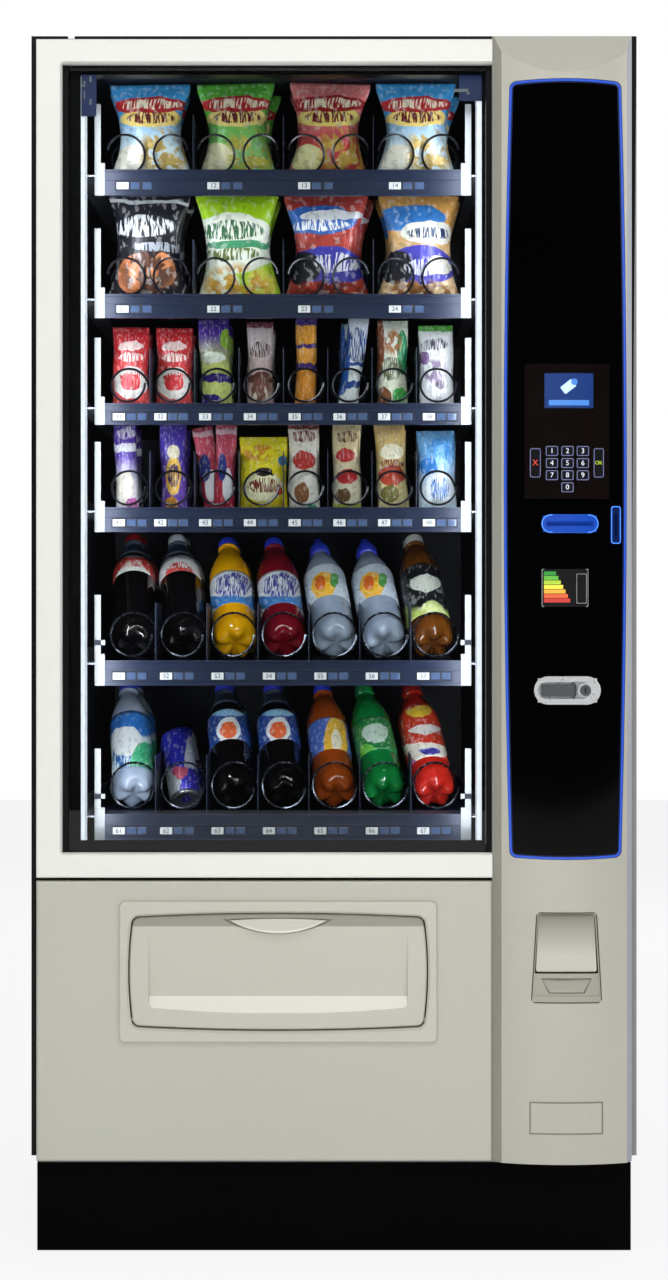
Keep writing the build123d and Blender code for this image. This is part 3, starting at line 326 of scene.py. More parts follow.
frame_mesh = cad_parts["glass_frame"].data
frame_mesh.materials.clear()
for name, along in (("champagne_anodised_across", 0), ("champagne_anodised_upright", 2)):
    frame_mesh.materials.append(brushed(name, "#e5e5df", "#eeeee8", along, 0.25, (0.32, 0.44)))
frame_low, frame_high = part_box("glass_frame")
BAR = 0.038


def on_upright(centre):
    """Whether a point of the frame lies on its left bar, between the mitres."""
    reach = centre[0] - frame_low[0]
    return reach < BAR and reach < frame_high[2] - centre[2] and reach < centre[2] - frame_low[2]


for polygon in frame_mesh.polygons:
    polygon.material_index = 1 if on_upright(polygon.center) else 0


# --- Glazing -------------------------------------------------------------------------------------
# One clear toughened pane with a black ceramic border printed on the back of it.
clear_glass, tree, shader = new_material(
    "toughened_glass", Base_Color=linear("#fbfefd"), Roughness=0.0, IOR=1.5, Transmission_Weight=1.0
)
set_gloss(tree, shader, (noise_of(tree, 6.0, 2.0), "Fac"), 0.0, 0.012)
# A flat pane passes the light that falls through it, so its shadow is only a faint tint.
pane_path = add_node(tree, "ShaderNodeLightPath")
pane_shadow = add_node(tree, "ShaderNodeBsdfTransparent", {"Color": linear("#f1f6f5")})
pane_mix = add_node(
    tree, "ShaderNodeMixShader", links={0: (pane_path, "Is Shadow Ray"), 1: (shader, 0), 2: (pane_shadow, 0)}
)
tree.links.new(pane_mix.outputs[0], tree.nodes["Material Output"].inputs["Surface"])
finish_nodes(clear_glass, "glass_pane")

border_print = coated(
    "black_ceramic_print", ("#020203", "#050507", 60), Roughness=0.6, Specular_IOR_Level=0.1
)
pane_low, pane_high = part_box("glass_pane")
BORDER_LEFT = 0.017
BORDER_RIGHT = 0.005
BORDER_TOP = 0.013
BORDER_BOTTOM = 0.016
BORDER_Y = pane_high[1] + 0.0003


def rectangle(low, high):
    """The four (x, z) corners between a low and a high one."""
    return [(low[0], low[1]), (high[0], low[1]), (high[0], high[1]), (low[0], high[1])]


def flat_ring(name, low, high, inner_low, inner_high, y, thick, material):
    """A flat border of four mitred strips facing the front, with a real thickness."""
    outline = rectangle(low, high) + rectangle(inner_low, inner_high)
    corners = [(x, depth, z) for depth in (y, y + thick) for x, z in outline]
    faces = []
    for n in range(4):
        m = (n + 1) % 4
        faces.append((n, m, m + 4, n + 4))
        faces.append((n + 8, n + 12, m + 12, m + 8))
        faces.append((n, n + 8, m + 8, m))
        faces.append((n + 4, m + 4, m + 12, n + 12))
    return mesh_piece(name, corners, faces, material)


glass_border = flat_ring(
    "glass_border", (pane_low[0], pane_low[2]), (pane_high[0], pane_high[2]),
    (pane_low[0] + BORDER_LEFT, pane_low[2] + BORDER_BOTTOM),
    (pane_high[0] - BORDER_RIGHT, pane_high[2] - BORDER_TOP), BORDER_Y, 0.0004, border_print,
)
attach(glass_border, "door")


# --- Light strips --------------------------------------------------------------------------------
# Opal acrylic covers over rows of white diodes; they glow evenly and light the goods.
opal_lit, tree, shader = new_material(
    "opal_acrylic_lit", Base_Color=linear("#f2f6ff"), Roughness=0.4, Emission_Strength=0.38
)
point = object_point(tree)
diodes = add_node(
    tree, "ShaderNodeTexWave", {"Scale": 12.0, "bands_direction": "Z", "Distortion": 0.0},
    {"Vector": (point, 0)}
)
glow = blend_of(tree, "#dfe8f6", "#f4f8ff", (diodes, "Fac"))
tree.links.new(glow.outputs[2], shader.inputs["Emission Color"])
finish_nodes(opal_lit, "led_strips")
strip_low, strip_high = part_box("led_strips")
strip_z = (strip_low[2] + strip_high[2]) / 2
LAMP_WIDE, LAMP_HIGH, LAMP_WATTS = 0.03, 1.15, 2.3
for side, x in ((-1, strip_low[0] + 0.02), (1, strip_high[0] - 0.02)):
    place, target = (x, strip_high[1] + 0.012, strip_z), (x * 0.2 - 0.06, 0.05, strip_z)
    lamp = soft_box(f"strip_lamp_{side}", place, target, LAMP_WIDE, LAMP_HIGH, LAMP_WATTS)
    lamp.data.color = linear("#eef3ff")[:3]


# --- Lower panel ---------------------------------------------------------------------------------
# Pressed steel under a champagne metallic lacquer: fine aluminium flake that gives a soft sheen.
def champagne(name, low, high, roughness=(0.34, 0.44)):
    """Metallic lacquer or moulding in the machine's champagne silver."""
    material, tree, shader = new_material(name, Metallic=0.28, Coat_Weight=0.15, Coat_Roughness=0.25)
    flake = grain(tree, shader, 1.6, 0.06, roughness, detail=2.0)
    drift = tone_drift(tree, shader, low, high, 500)
    sparkle = add_node(
        tree, "ShaderNodeMix", {"data_type": "RGBA", "blend_type": "OVERLAY", 0: 0.10},
        {6: (drift, 2), 7: (flake, "Color")},
    )
    paint(tree, shader, sparkle)
    return material


panel_lacquer = champagne("champagne_lacquer", "#bcbbaf", "#c4c3b8", (0.36, 0.46))
finish_nodes(panel_lacquer, "lower_panel")
hatch_champagne = champagne("champagne_hatch_moulding", "#c2c0b4", "#c9c7bc")
finish_nodes(hatch_champagne, "hatch_bezel")


def painted_rim_shadow(material, shade, low, high):
    """Paints shadow into a finish, darker from height low to height high, as the shade a rim over it casts.
    """
    tree = material.node_tree
    shader = tree.nodes["Principled BSDF"]
    base = shader.inputs["Base Color"].links[0].from_node
    axes = add_node(tree, "ShaderNodeSeparateXYZ", links={"Vector": (object_point(tree), 0)})
    height = share_of(tree, (axes, "Z"), low, high)
    paint(tree, shader, mixed(tree, (base, 2), shade, (height, "Result")))
    return material


# Painted shadow: heights where the delivery flap and the coin flap turn darker towards their tops, as shade
# cast by the rims over them.
FLAP_SHADE, COIN_FLAP_SHADE = (0.4925, 0.4945), (0.452, 0.514)  # heights
flap_finish = champagne("champagne_flap_painted_shadow", "#c2c0b4", "#c9c7bc")
finish_nodes(painted_rim_shadow(flap_finish, "#9a988c", *FLAP_SHADE), "delivery_flap")
# Painted highlight: the up-facing ledge and the finger lip of the flap take a brighter champagne, where they
# catch the light from above.
ledge_painted_highlight = champagne("champagne_satin_edge", "#dddcd2", "#e6e5dc", (0.28, 0.36))
flap_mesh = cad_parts["delivery_flap"].data
flap_mesh.materials.append(ledge_painted_highlight)
HATCH_X, LEDGE_HALF, LEDGE_LOW, LEDGE_HIGH, LEDGE_Y = -0.0835, 0.197, 0.360, 0.3885, -0.411
LIP_LOW, LIP_Y = 0.484, -0.4213
for polygon in flap_mesh.polygons:
    x, y, z = polygon.center
    on_ledge = LEDGE_LOW < z < LEDGE_HIGH and abs(x - HATCH_X) < LEDGE_HALF
    ledge = on_ledge and polygon.normal.z > 0.15 and y < LEDGE_Y
    finger_lip = z > LIP_LOW and y < LIP_Y
    if ledge or finger_lip:
        polygon.material_index = 1
coin_flap_finish = champagne("champagne_coin_flap_painted_shadow", "#c6c5bb", "#cccbc2")
finish_nodes(painted_rim_shadow(coin_flap_finish, "#8a8779", *COIN_FLAP_SHADE), "coin_return_flap")
column_champagne = champagne("champagne_column_moulding", "#b8b6aa", "#bfbdb2")
finish_nodes(column_champagne, "column_cover")
# Painted shade: the coin return cup is a darker champagne, for the shade in its recess.
finish_nodes(champagne("champagne_cup_painted_shade", "#a5a396", "#adab9f"), "coin_return_cup")


# --- Payment column ------------------------------------------------------------------------------
# Gloss black acrylic fascia with a blue light guide let in round its edge.
piano_black = coated(
    "piano_black_acrylic", ("#010102", "#030304", 200), (40, 0.02, (0.05, 0.09)), Specular_IOR_Level=0.3
)
finish_nodes(piano_black, "fascia_panel")

blue_guide, tree, shader = new_material(
    "blue_light_guide", Base_Color=linear("#060c20"), Roughness=0.3, Emission_Strength=0.3
)
point = object_point(tree)
along = noise_of(tree, 2.5, 1.0, (point, 0))
blue_glow = blend_of(tree, "#0c1f58", "#142c70", (along, "Fac"))
tree.links.new(blue_glow.outputs[2], shader.inputs["Emission Color"])
finish_nodes(blue_guide, "light_ring")

# The key area is a printed insert, a little browner than the fascia round it.
print_black = coated("brown_black_print", ("#0b0706", "#120c0a", 90), (30, 0.02, (0.12, 0.2)))
finish_nodes(print_black, "keypad_bezel")


# --- Display -------------------------------------------------------------------------------------
# A small lit screen: a blue ground with a plain pictogram of a card and a coin over a bar.
def glowing(name, colour, strength, rough=0.3):
    """A lit plastic or print of one colour, with a faint unevenness in the light."""
    sockets = {"Base_Color": linear(colour), "Roughness": rough, "Emission_Strength": strength}
    material, tree, shader = new_material(name, **sockets)
    cloud = noise_of(tree, 40.0, 1.0)
    lit = add_node(tree, "ShaderNodeHueSaturation", {"Color": linear(colour)})
    level = ranged(tree, (cloud, "Fac"), 0.85, 1.15)
    tree.links.new(level.outputs["Result"], lit.inputs["Value"])
    tree.links.new(lit.outputs["Color"], shader.inputs["Emission Color"])
    return material


COLUMN_MID_X = 0.3435
ARC_RADIUS = 0.3192
ARC_CENTRE_Y = -0.445 + ARC_RADIUS
PLATE = 0.0002  # thickness of a printed plate or line
MARK_THICK = 0.0003  # and of a numeral


def on_arc(x, depth):
    """The y of the column's curved front at x, that far behind its crest."""
    radius = ARC_RADIUS - depth
    return ARC_CENTRE_Y - math.sqrt(radius**2 - (x - COLUMN_MID_X) ** 2)


# Painted shade and reflection: the cover's left side return is painted darker, as shade where it
# looks away from the light, and its right return cooler, as a painted reflection; the fine groove
# that frames the empty name plate is painted darker, as shade in it.
PLATE_X, PLATE_Z = (0.2905, 0.4005), (0.1865, 0.2355)
RETURN_FROM = 0.08  # from the column's middle
cover_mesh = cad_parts["column_cover"].data
for name, low, high in (
    ("champagne_left_return", "#96948a", "#9d9b90"),
    ("champagne_right_return", "#a2a6ad", "#a9adb5"),
    ("champagne_groove", "#8b887a", "#928f81"),
):
    cover_mesh.materials.append(champagne(name, low, high))
for polygon in cover_mesh.polygons:
    x, y, z = polygon.center
    near_plate = PLATE_X[0] < x < PLATE_X[1] and PLATE_Z[0] < z < PLATE_Z[1]
    if polygon.normal.x < -0.6 and x < COLUMN_MID_X - RETURN_FROM:
        polygon.material_index = 1
    elif polygon.normal.x > 0.6 and x > COLUMN_MID_X + RETURN_FROM:
        polygon.material_index = 2
    elif near_plate and 0.0003 < y - on_arc(x, 0) < 0.0016:
        polygon.material_index = 3


def arc_patch(name, outline, depth, material):
    """A thin plate of any (x, z) outline bent to the column's arc; depth is to its front."""
    builder = bmesh.new()
    face = builder.faces.new([builder.verts.new((x, 0, z)) for x, z in outline])
    if face.normal.y > 0:
        face.normal_flip()
    width = max(x for x, z in outline) - min(x for x, z in outline)
    if width > 0.02:
        low_x = min(x for x, z in outline)
        for n in range(1, 6):
            cut_x = low_x + width * n / 6
            bmesh.ops.bisect_plane(
                builder, geom=builder.faces[:] + builder.edges[:] + builder.verts[:], plane_co=(cut_x, 0, 0),
                plane_no=(1, 0, 0),
            )
    made = bmesh.ops.extrude_face_region(builder, geom=builder.faces[:])
    back = {v for v in made["geom"] if isinstance(v, bmesh.types.BMVert)}
    for vert in builder.verts:
        vert.co.y = on_arc(vert.co.x, depth) + (PLATE if vert in back else 0.0)
    bmesh.ops.recalc_face_normals(builder, faces=builder.faces[:])
    mesh = bpy.data.meshes.new(name)
    builder.to_mesh(mesh)
    builder.free()
    mesh.materials.append(material)
    piece = linked(name, mesh)
    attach(piece, "door")


def rounded(x, z, half_x, half_z, radius, steps=5):
    """Points of a rectangle with round corners, anticlockwise."""
    points = []
    corners = ((1, 1, 0), (-1, 1, 90), (-1, -1, 180), (1, -1, 270))
    for side_x, side_z, start in corners:
        for n in range(steps + 1):
            turn = math.radians(start + 90 * n / steps)
            points.append(
                (
                    x + side_x * (half_x - radius) + radius * math.cos(turn),
                    z + side_z * (half_z - radius) + radius * math.sin(turn),
                )
            )
    return points


screen_low, screen_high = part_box("display_screen")
screen_x = (screen_low[0] + screen_high[0]) / 2
screen_z = (screen_low[2] + screen_high[2]) / 2
screen_blue = glowing("lcd_blue", "#132d64", 0.56)
finish_nodes(screen_blue, "display_screen")
SCREEN_DEPTH = 0.0035
screen_pale = glowing("lcd_pale", "#a9c6ee", 0.7)
screen_mid = glowing("lcd_mid_blue", "#3f74bc", 0.6)
arc_patch(
    "screen_strip", rounded(screen_x, screen_low[2] + 0.008, 0.030, 0.004, 0.001), SCREEN_DEPTH - 0.0003,
    screen_mid,
)
CARD_X, CARD_Z, CARD_TURN = screen_x - 0.001, screen_z + 0.006, math.radians(38)
c, s = math.cos(CARD_TURN), math.sin(CARD_TURN)
arc_patch(
    "screen_card",
    [(CARD_X + x * c - z * s, CARD_Z + x * s + z * c) for x, z in rounded(0, 0, 0.0105, 0.0065, 0.002)],
    SCREEN_DEPTH - 0.0003, screen_pale,
)
COIN_X, COIN_Z, COIN_R = screen_x + 0.008, screen_z + 0.013, 0.005
turns = [math.tau * n / 16 for n in range(16)]
arc_patch(
    "screen_coin", [(COIN_X + COIN_R * math.cos(a), COIN_Z + COIN_R * math.sin(a)) for a in turns],
    SCREEN_DEPTH - 0.0004, screen_mid,
)


# --- Keys ----------------------------------------------------------------------------------------
# Black moulded keys, each with a lit outline and a white numeral; cancel is red, confirm green.
key_black = coated("black_key_plastic", ("#0a0a0f", "#111117", 25), (3, 0.05, (0.25, 0.35)), Coat_Weight=0.2)
key_line = glowing("lavender_key_line", "#676b93", 0.3)
numeral_white = glowing("numeral_white", "#c9ccdc", 0.5)
cancel_red = glowing("cancel_red", "#c0392b", 0.85)
confirm_green = glowing("confirm_green", "#9dbb2e", 0.85)


def ring_faces(count, backed=True):
    """Faces of a closed line whose corners are outer and inner, first in front and then behind."""
    faces = []
    for n in range(count):
        m = (n + 1) % count
        faces.append((n, n + count, m + count, m))
        if backed:
            faces.append((n + 2 * count, m + 2 * count, m + 3 * count, n + 3 * count))
        faces.append((n, m, m + 2 * count, n + 2 * count))
        faces.append((n + count, n + 3 * count, m + 3 * count, m + count))
    return faces


def outline_ring(name, outer, inner, depth, material, slot_name="fascia_black", thick=PLATE):
    """A thin line between two matching outlines, bent to the column's arc."""
    corners = []
    for d in (depth, depth + thick):
        corners += [(x, on_arc(x, d), z) for x, z in outer]
        corners += [(x, on_arc(x, d), z) for x, z in inner]
    piece = mesh_piece(name, corners, ring_faces(len(outer)), material)
    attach(piece, "door")


def divided(points, count_of):
    """Points of a closed outline with each side divided; count_of gives the parts of a length."""
    dense = []
    for (x, z), (next_x, next_z) in zip(points, points[1:] + points[:1]):
        count = count_of(math.hypot(next_x - x, next_z - z))
        dense += [(x + (next_x - x) * n / count, z + (next_z - z) * n / count) for n in range(count)]
    return dense


def bowed(points, half_x, half_z, bow_x, bow_z):
    """Points of a closed outline, divided every 12 mm, whose sides are then bowed outwards."""
    return [
        (
            x + math.copysign(bow_x * (1 - (z / half_z) ** 2), x),
            z + math.copysign(bow_z * (1 - (x / half_x) ** 2), z),
        )
        for x, z in divided(points, lambda length: max(1, round(length / 0.012)))
    ]


ring_low, ring_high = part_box("light_ring")
ring_mid = [(low + high) / 2 for low, high in zip(ring_low, ring_high)]
core_outlines = []
BOW_X, BOW_Z, RING_RADIUS = 0.0085, 0.003, 0.011
for inset in (0.0006, 0.0040):
    half_x = ring_high[0] - ring_mid[0] - BOW_X - inset
    half_z = ring_high[2] - ring_mid[2] - BOW_Z - inset
    outline = bowed(rounded(0, 0, half_x, half_z, RING_RADIUS - inset), half_x, half_z, BOW_X, BOW_Z)
    core_outlines.append([(ring_mid[0] + x, ring_mid[2] + z) for x, z in outline])
core_blue = glowing("blue_light_core", "#2348ac", 0.62)
outline_ring("light_ring_core", *core_outlines, 0.0013, core_blue, "light_blue", 0.0004)


# A fine dark strip paints the shadow in the gap round the coin return, and a second one the shadow
# round the finger pocket in its sill.
gap_shadow_paint = coated("painted_gap_shadow", ("#403e36", "#4a4840", 20), Roughness=0.8, Specular_IOR_Level=0.1)
RETURN_X = 0.346
GAPS = (
    ("coin_return_gap", ((-53.0, 382.0), (53.0, 382.0), (45.0, 517.0), (-45.0, 517.0)), 1.4, 0.00005),
    ("finger_pocket_gap", ((-26.5, 396.5), (26.5, 396.5), (37.5, 418.5), (-37.5, 418.5)), 1.1, 0.0022),
)
# Each strip is painted shadow, not a seal.
for name, corners, width, depth in GAPS:
    mid_z = (corners[0][1] + corners[2][1]) / 2
    outer = [(RETURN_X + x / 1000, z / 1000) for x, z in corners]
    inner = [
        (RETURN_X + (x - math.copysign(width, x)) / 1000, (z - math.copysign(width, z - mid_z)) / 1000)
        for x, z in corners
    ]
    outlines = [divided(outline, lambda length: 8) for outline in (outer, inner)]
    outline_ring(name, *outlines, depth, gap_shadow_paint, thick=0.0003)


def lettering(name, text, size, place, material, body):
    """Flat numerals facing the front, with a small thickness, centred on a point."""
    curve = bpy.data.curves.new(name, "FONT")
    curve.body = text
    curve.size = size
    curve.extrude = MARK_THICK / 2
    curve.align_x = "CENTER"
    curve.align_y = "CENTER"
    words = linked(name, curve)
    words.rotation_euler = (math.radians(90), 0, 0)
    words.location = place
    bpy.context.view_layer.update()
    mesh = bpy.data.meshes.new_from_object(words.evaluated_get(bpy.context.evaluated_depsgraph_get()))
    mesh.transform(words.matrix_world)
    bpy.data.objects.remove(words)
    mesh.materials.clear()
    mesh.materials.append(material)
    piece = linked(name, mesh)
    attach(piece, body)


# How far the lit line stands in at the sides and at the top, its outer and inner radius, its width.
DIGIT_LINE = (0.0015, 0.0006, 0.0022, 0.0013, 0.0011)
COMMAND_LINE = (0.0016, 0.001, 0.003, 0.002, 0.001)
KEYS = [(f"key_{n}", n, 0.0105, numeral_white) for n in "1234567890"]
KEYS += [("key_cancel", "X", 0.012, cancel_red), ("key_confirm", "OK", 0.0075, confirm_green)]
for node, text, size, ink in KEYS:
    if text.isdigit():
        line_name, mark_name, line_form = f"key_line_{text}", f"numeral_{text}", DIGIT_LINE
    else:
        line_name, mark_name, line_form = f"{node}_line", f"{node}_mark", COMMAND_LINE
    inset_x, inset_z, radius, inner_radius, width = line_form
    finish_nodes(key_black, node)
    low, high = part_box(node)
    x, z, front = (low[0] + high[0]) / 2, (low[2] + high[2]) / 2, low[1]
    half_x, half_z = (high[0] - low[0]) / 2 - inset_x, (high[2] - low[2]) / 2 - inset_z
    outline = rounded(x, z, half_x, half_z, radius)
    outline += rounded(x, z, half_x - width, half_z - width, inner_radius)
    corners = [(px, front + y, pz) for y in (-0.0002, 0.0003) for px, pz in outline]
    line = mesh_piece(line_name, corners, ring_faces(len(outline) // 2, backed=False), key_line)
    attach(line, node)
    lettering(mark_name, text, size, (x, front, z), ink, node)


# --- Note reader, coin slot and label ------------------------------------------------------------
# Clear polycarbonate mouths lit blue from behind; the label is a plain scale of coloured bars.
lit_mouth = glowing("lit_polycarbonate", "#16409c", 0.42, 0.15)
finish_nodes(lit_mouth, "note_reader")
finish_nodes(glowing("dim_polycarbonate", "#0a1b48", 0.3, 0.15), "coin_slot")
lit_edge = glowing("lit_edge_blue", "#3f78e0", 0.8)
NOTE_X, NOTE_Z = 0.351, 1.095
outline_ring(
    "note_rim_light", rounded(NOTE_X, NOTE_Z, 0.0425, 0.0137, 0.0136, 8),
    rounded(NOTE_X, NOTE_Z, 0.0408, 0.0120, 0.0119, 8), 0.0002, lit_edge, "reader_blue", 0.0012,
)
SLOT_X, SLOT_Z = 0.4202, 1.0935
outline_ring(
    "coin_rim_light", rounded(SLOT_X, SLOT_Z, 0.0075, 0.028, 0.004),
    rounded(SLOT_X, SLOT_Z, 0.0059, 0.0264, 0.0026), 0.0005, lit_edge, "reader_blue", 0.0010,
)
label_dark = coated("label_black_film", ("#060707", "#0b0c0c", 20), Roughness=0.4)
LABEL_X, LABEL_Z = 0.3437, 0.9995
arc_patch("rating_label", rounded(LABEL_X, LABEL_Z, 0.0345, 0.028, 0.001, 2), 0.0027, label_dark)
# Painted glow: the label's pale lines and coloured bars are printed film, drawn with a faint glow.
pale_line_glow_paint = glowing("label_pale_line", "#9fa3a0", 0.12)
outline_ring(
    "label_border", rounded(LABEL_X, LABEL_Z, 0.0345, 0.028, 0.001, 2),
    rounded(LABEL_X, LABEL_Z, 0.0338, 0.0273, 0.0006, 2), 0.0025, pale_line_glow_paint,
)
BAR_COLOURS = ("#2f8f3a", "#5fae3a", "#a7c93c", "#e6dd4a", "#eaa93c", "#d9603a", "#c33a35")
bar_step = 0.047 / len(BAR_COLOURS)
for n, colour in enumerate(BAR_COLOURS):
    bar_z, half = LABEL_Z + 0.0215 - bar_step * n, bar_step * 0.44
    left, width = LABEL_X - 0.0315, 0.018 + 0.0035 * n
    outline = rectangle((left, bar_z - half), (left + width, bar_z + half))
    arc_patch(f"rating_bar_{n}", outline, 0.0024, glowing(f"label_bar_glow_paint_{n}", colour, 0.18, 0.5))
outline_ring(
    "label_window", rounded(LABEL_X + 0.0245, LABEL_Z - 0.001, 0.0075, 0.022, 0.0006, 2),
    rounded(LABEL_X + 0.0245, LABEL_Z - 0.001, 0.0069, 0.0214, 0.0004, 2), 0.0024, pale_line_glow_paint,
)


# --- Lock ----------------------------------------------------------------------------------------
# A die-cast bezel in bright chrome, a satin steel lever folded into it, and the key cylinder.
chrome = coated("chrome_plate", ("#dcdee0", "#eaecee", 30), (8, 0.03, (0.24, 0.34)), Metallic=0.6)
finish_nodes(chrome, "lock_bezel")
satin_steel = brushed("satin_stainless", "#595b5e", "#787a7d", 0, 0.7, (0.3, 0.42), 0.8)
finish_nodes(satin_steel, "lock_lever", "lock_plug")


# --- Inner lining --------------------------------------------------------------------------------
# Steel sheet in a deep navy satin that disappears behind the lit goods.
navy_sheet = coated("navy_satin_sheet", ("#070a15", "#0d1323", 250), (6, 0.1, (0.5, 0.6)))
finish_nodes(navy_sheet, "cabinet_liner", "delivery_chute", "baffle_flap")

machine_grey = coated("mill_aluminium", ("#7e8285", "#94989a", 40), (3, 0.1, (0.35, 0.5)), Metallic=0.9)
finish_nodes(machine_grey, "cooling_unit")
fan_black = coated("glass_filled_nylon", ("#0c0c0d", "#161617", 30), (2, 0.1, (0.5, 0.65)))
finish_nodes(fan_black, "cooling_fan", "coin_mechanism")


# --- Trays ---------------------------------------------------------------------------------------
# Navy steel trays; their front rails are extruded strips that carry number tags and price windows,
# and the bent ends of their side walls are bare white enamel.
tray_navy = coated("navy_tray_enamel", ("#141a30", "#1a2140", 200), (5, 0.1, (0.35, 0.48)), Metallic=0.2)
rail_navy = coated(
    "navy_rail_extrusion", ("#121a2e", "#1b2640", 60, (0.2, 1.0, 1.0)),
    (4, 0.06, (0.3, 0.42), (0.05, 1.0, 1.0)), Metallic=0.2,
)
end_white = coated(
    "white_enamel_bracket", ("#6a6d6d", "#7b7e7d", 30), (4, 0.05, (0.25, 0.36)), Coat_Weight=0.3
)
divider_grey = coated("grey_divider_plastic", ("#1b2233", "#262f46", 80), (4, 0.05, (0.4, 0.5)))
# Painted glow: the white tag cards are drawn with a faint glow.
tag_glow_paint = coated(
    "white_tag_card_painted_glow", ("#b4b6b9", "#c0c2c4", 15), Roughness=0.55, Emission_Strength=0.08,
    Emission_Color=linear("#ffffff"),
)
window_blue = coated(
    "blue_grey_price_window", ("#35445f", "#4a5b7c", 12), (6, 0.03, (0.12, 0.2)), Coat_Weight=0.5
)
recess_navy = coated("navy_recess_matt", ("#0b0f1b", "#121829", 40), Roughness=0.7)
numeral_ink = coated("numeral_ink", ("#060709", "#0c0d11", 10), Roughness=0.6, Specular_IOR_Level=0.1)

WIDE_COIL = 37
# tray, rail top, rail height, selections, pitch, coils in a selection, coil radius (millimetres)
TRAYS = (
    ("tray_1", 1659, 37, 4, 143.0, 2, 30),
    ("tray_2", 1463, 34, 4, 143.0, 2, 30),
    ("tray_3", 1291, 30, 8, 70.5, 1, 30),
    ("tray_4", 1127, 35, 8, 70.5, 1, 30),
    ("tray_5", 886, 36, 7, 81.0, 1, WIDE_COIL),
    ("tray_6", 644, 39, 7, 81.0, 1, WIDE_COIL),
)
TRAY_MID, RAIL_HALF, DIVIDER_HALF = -80.5, 280, 290
RAIL_FACE, DIVIDER_FRONT, DIVIDER_REAR = -245.0, -226, 296
FACE_Y = RAIL_FACE - 0.2
RAIL_DEPTH, FIRST_TAG = 7, 268
TAG_WIDE, WINDOW_WIDE, TAG_HALF, RECESS_HALF = 19, 14, 5.5, 7.5
# by the coils in a selection: the tag's inset, and the pitch of its two price windows
TAG_INSET, WINDOW_PITCH = {1: 9, 2: 24}, {1: 17, 2: 19}
# how far back the first goods stand, and how far behind them the second ones (millimetres)
BAG_Y, BAR_Y, PARTNER_Y, COIL_PITCH = -176, -167, -158, 61.9
BOTTLE_Y, CAN_Y, BOTTLE_PITCH = -148, -152, 99


def box_parts(boxes):
    """Corners and faces of several boxes, each given as (low, high) in millimetres."""
    corners, faces = [], []
    for low, high in boxes:
        base = len(corners)
        for x in (low[0], high[0]):
            for y in (low[1], high[1]):
                for z in (low[2], high[2]):
                    corners.append((x / 1000, y / 1000, z / 1000))
        for face in ((0, 1, 3, 2), (4, 6, 7, 5), (0, 4, 5, 1), (2, 3, 7, 6), (0, 2, 6, 4), (1, 5, 7, 3)):
            faces.append(tuple(base + n for n in face))
    return corners, faces


def box_piece(name, boxes, width, material, body):
    """One piece of several boxes in millimetres, with its edges rounded to a width in metres."""
    piece = mesh_piece(name, *box_parts(boxes), material)
    builder = bmesh.new()
    builder.from_mesh(piece.data)
    bmesh.ops.remove_doubles(builder, verts=builder.verts[:], dist=0.00001)
    bmesh.ops.bevel(builder, geom=builder.edges[:], offset=width, segments=2, affect="EDGES", profile=0.5)
    builder.to_mesh(piece.data)
    builder.free()
    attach(piece, body)


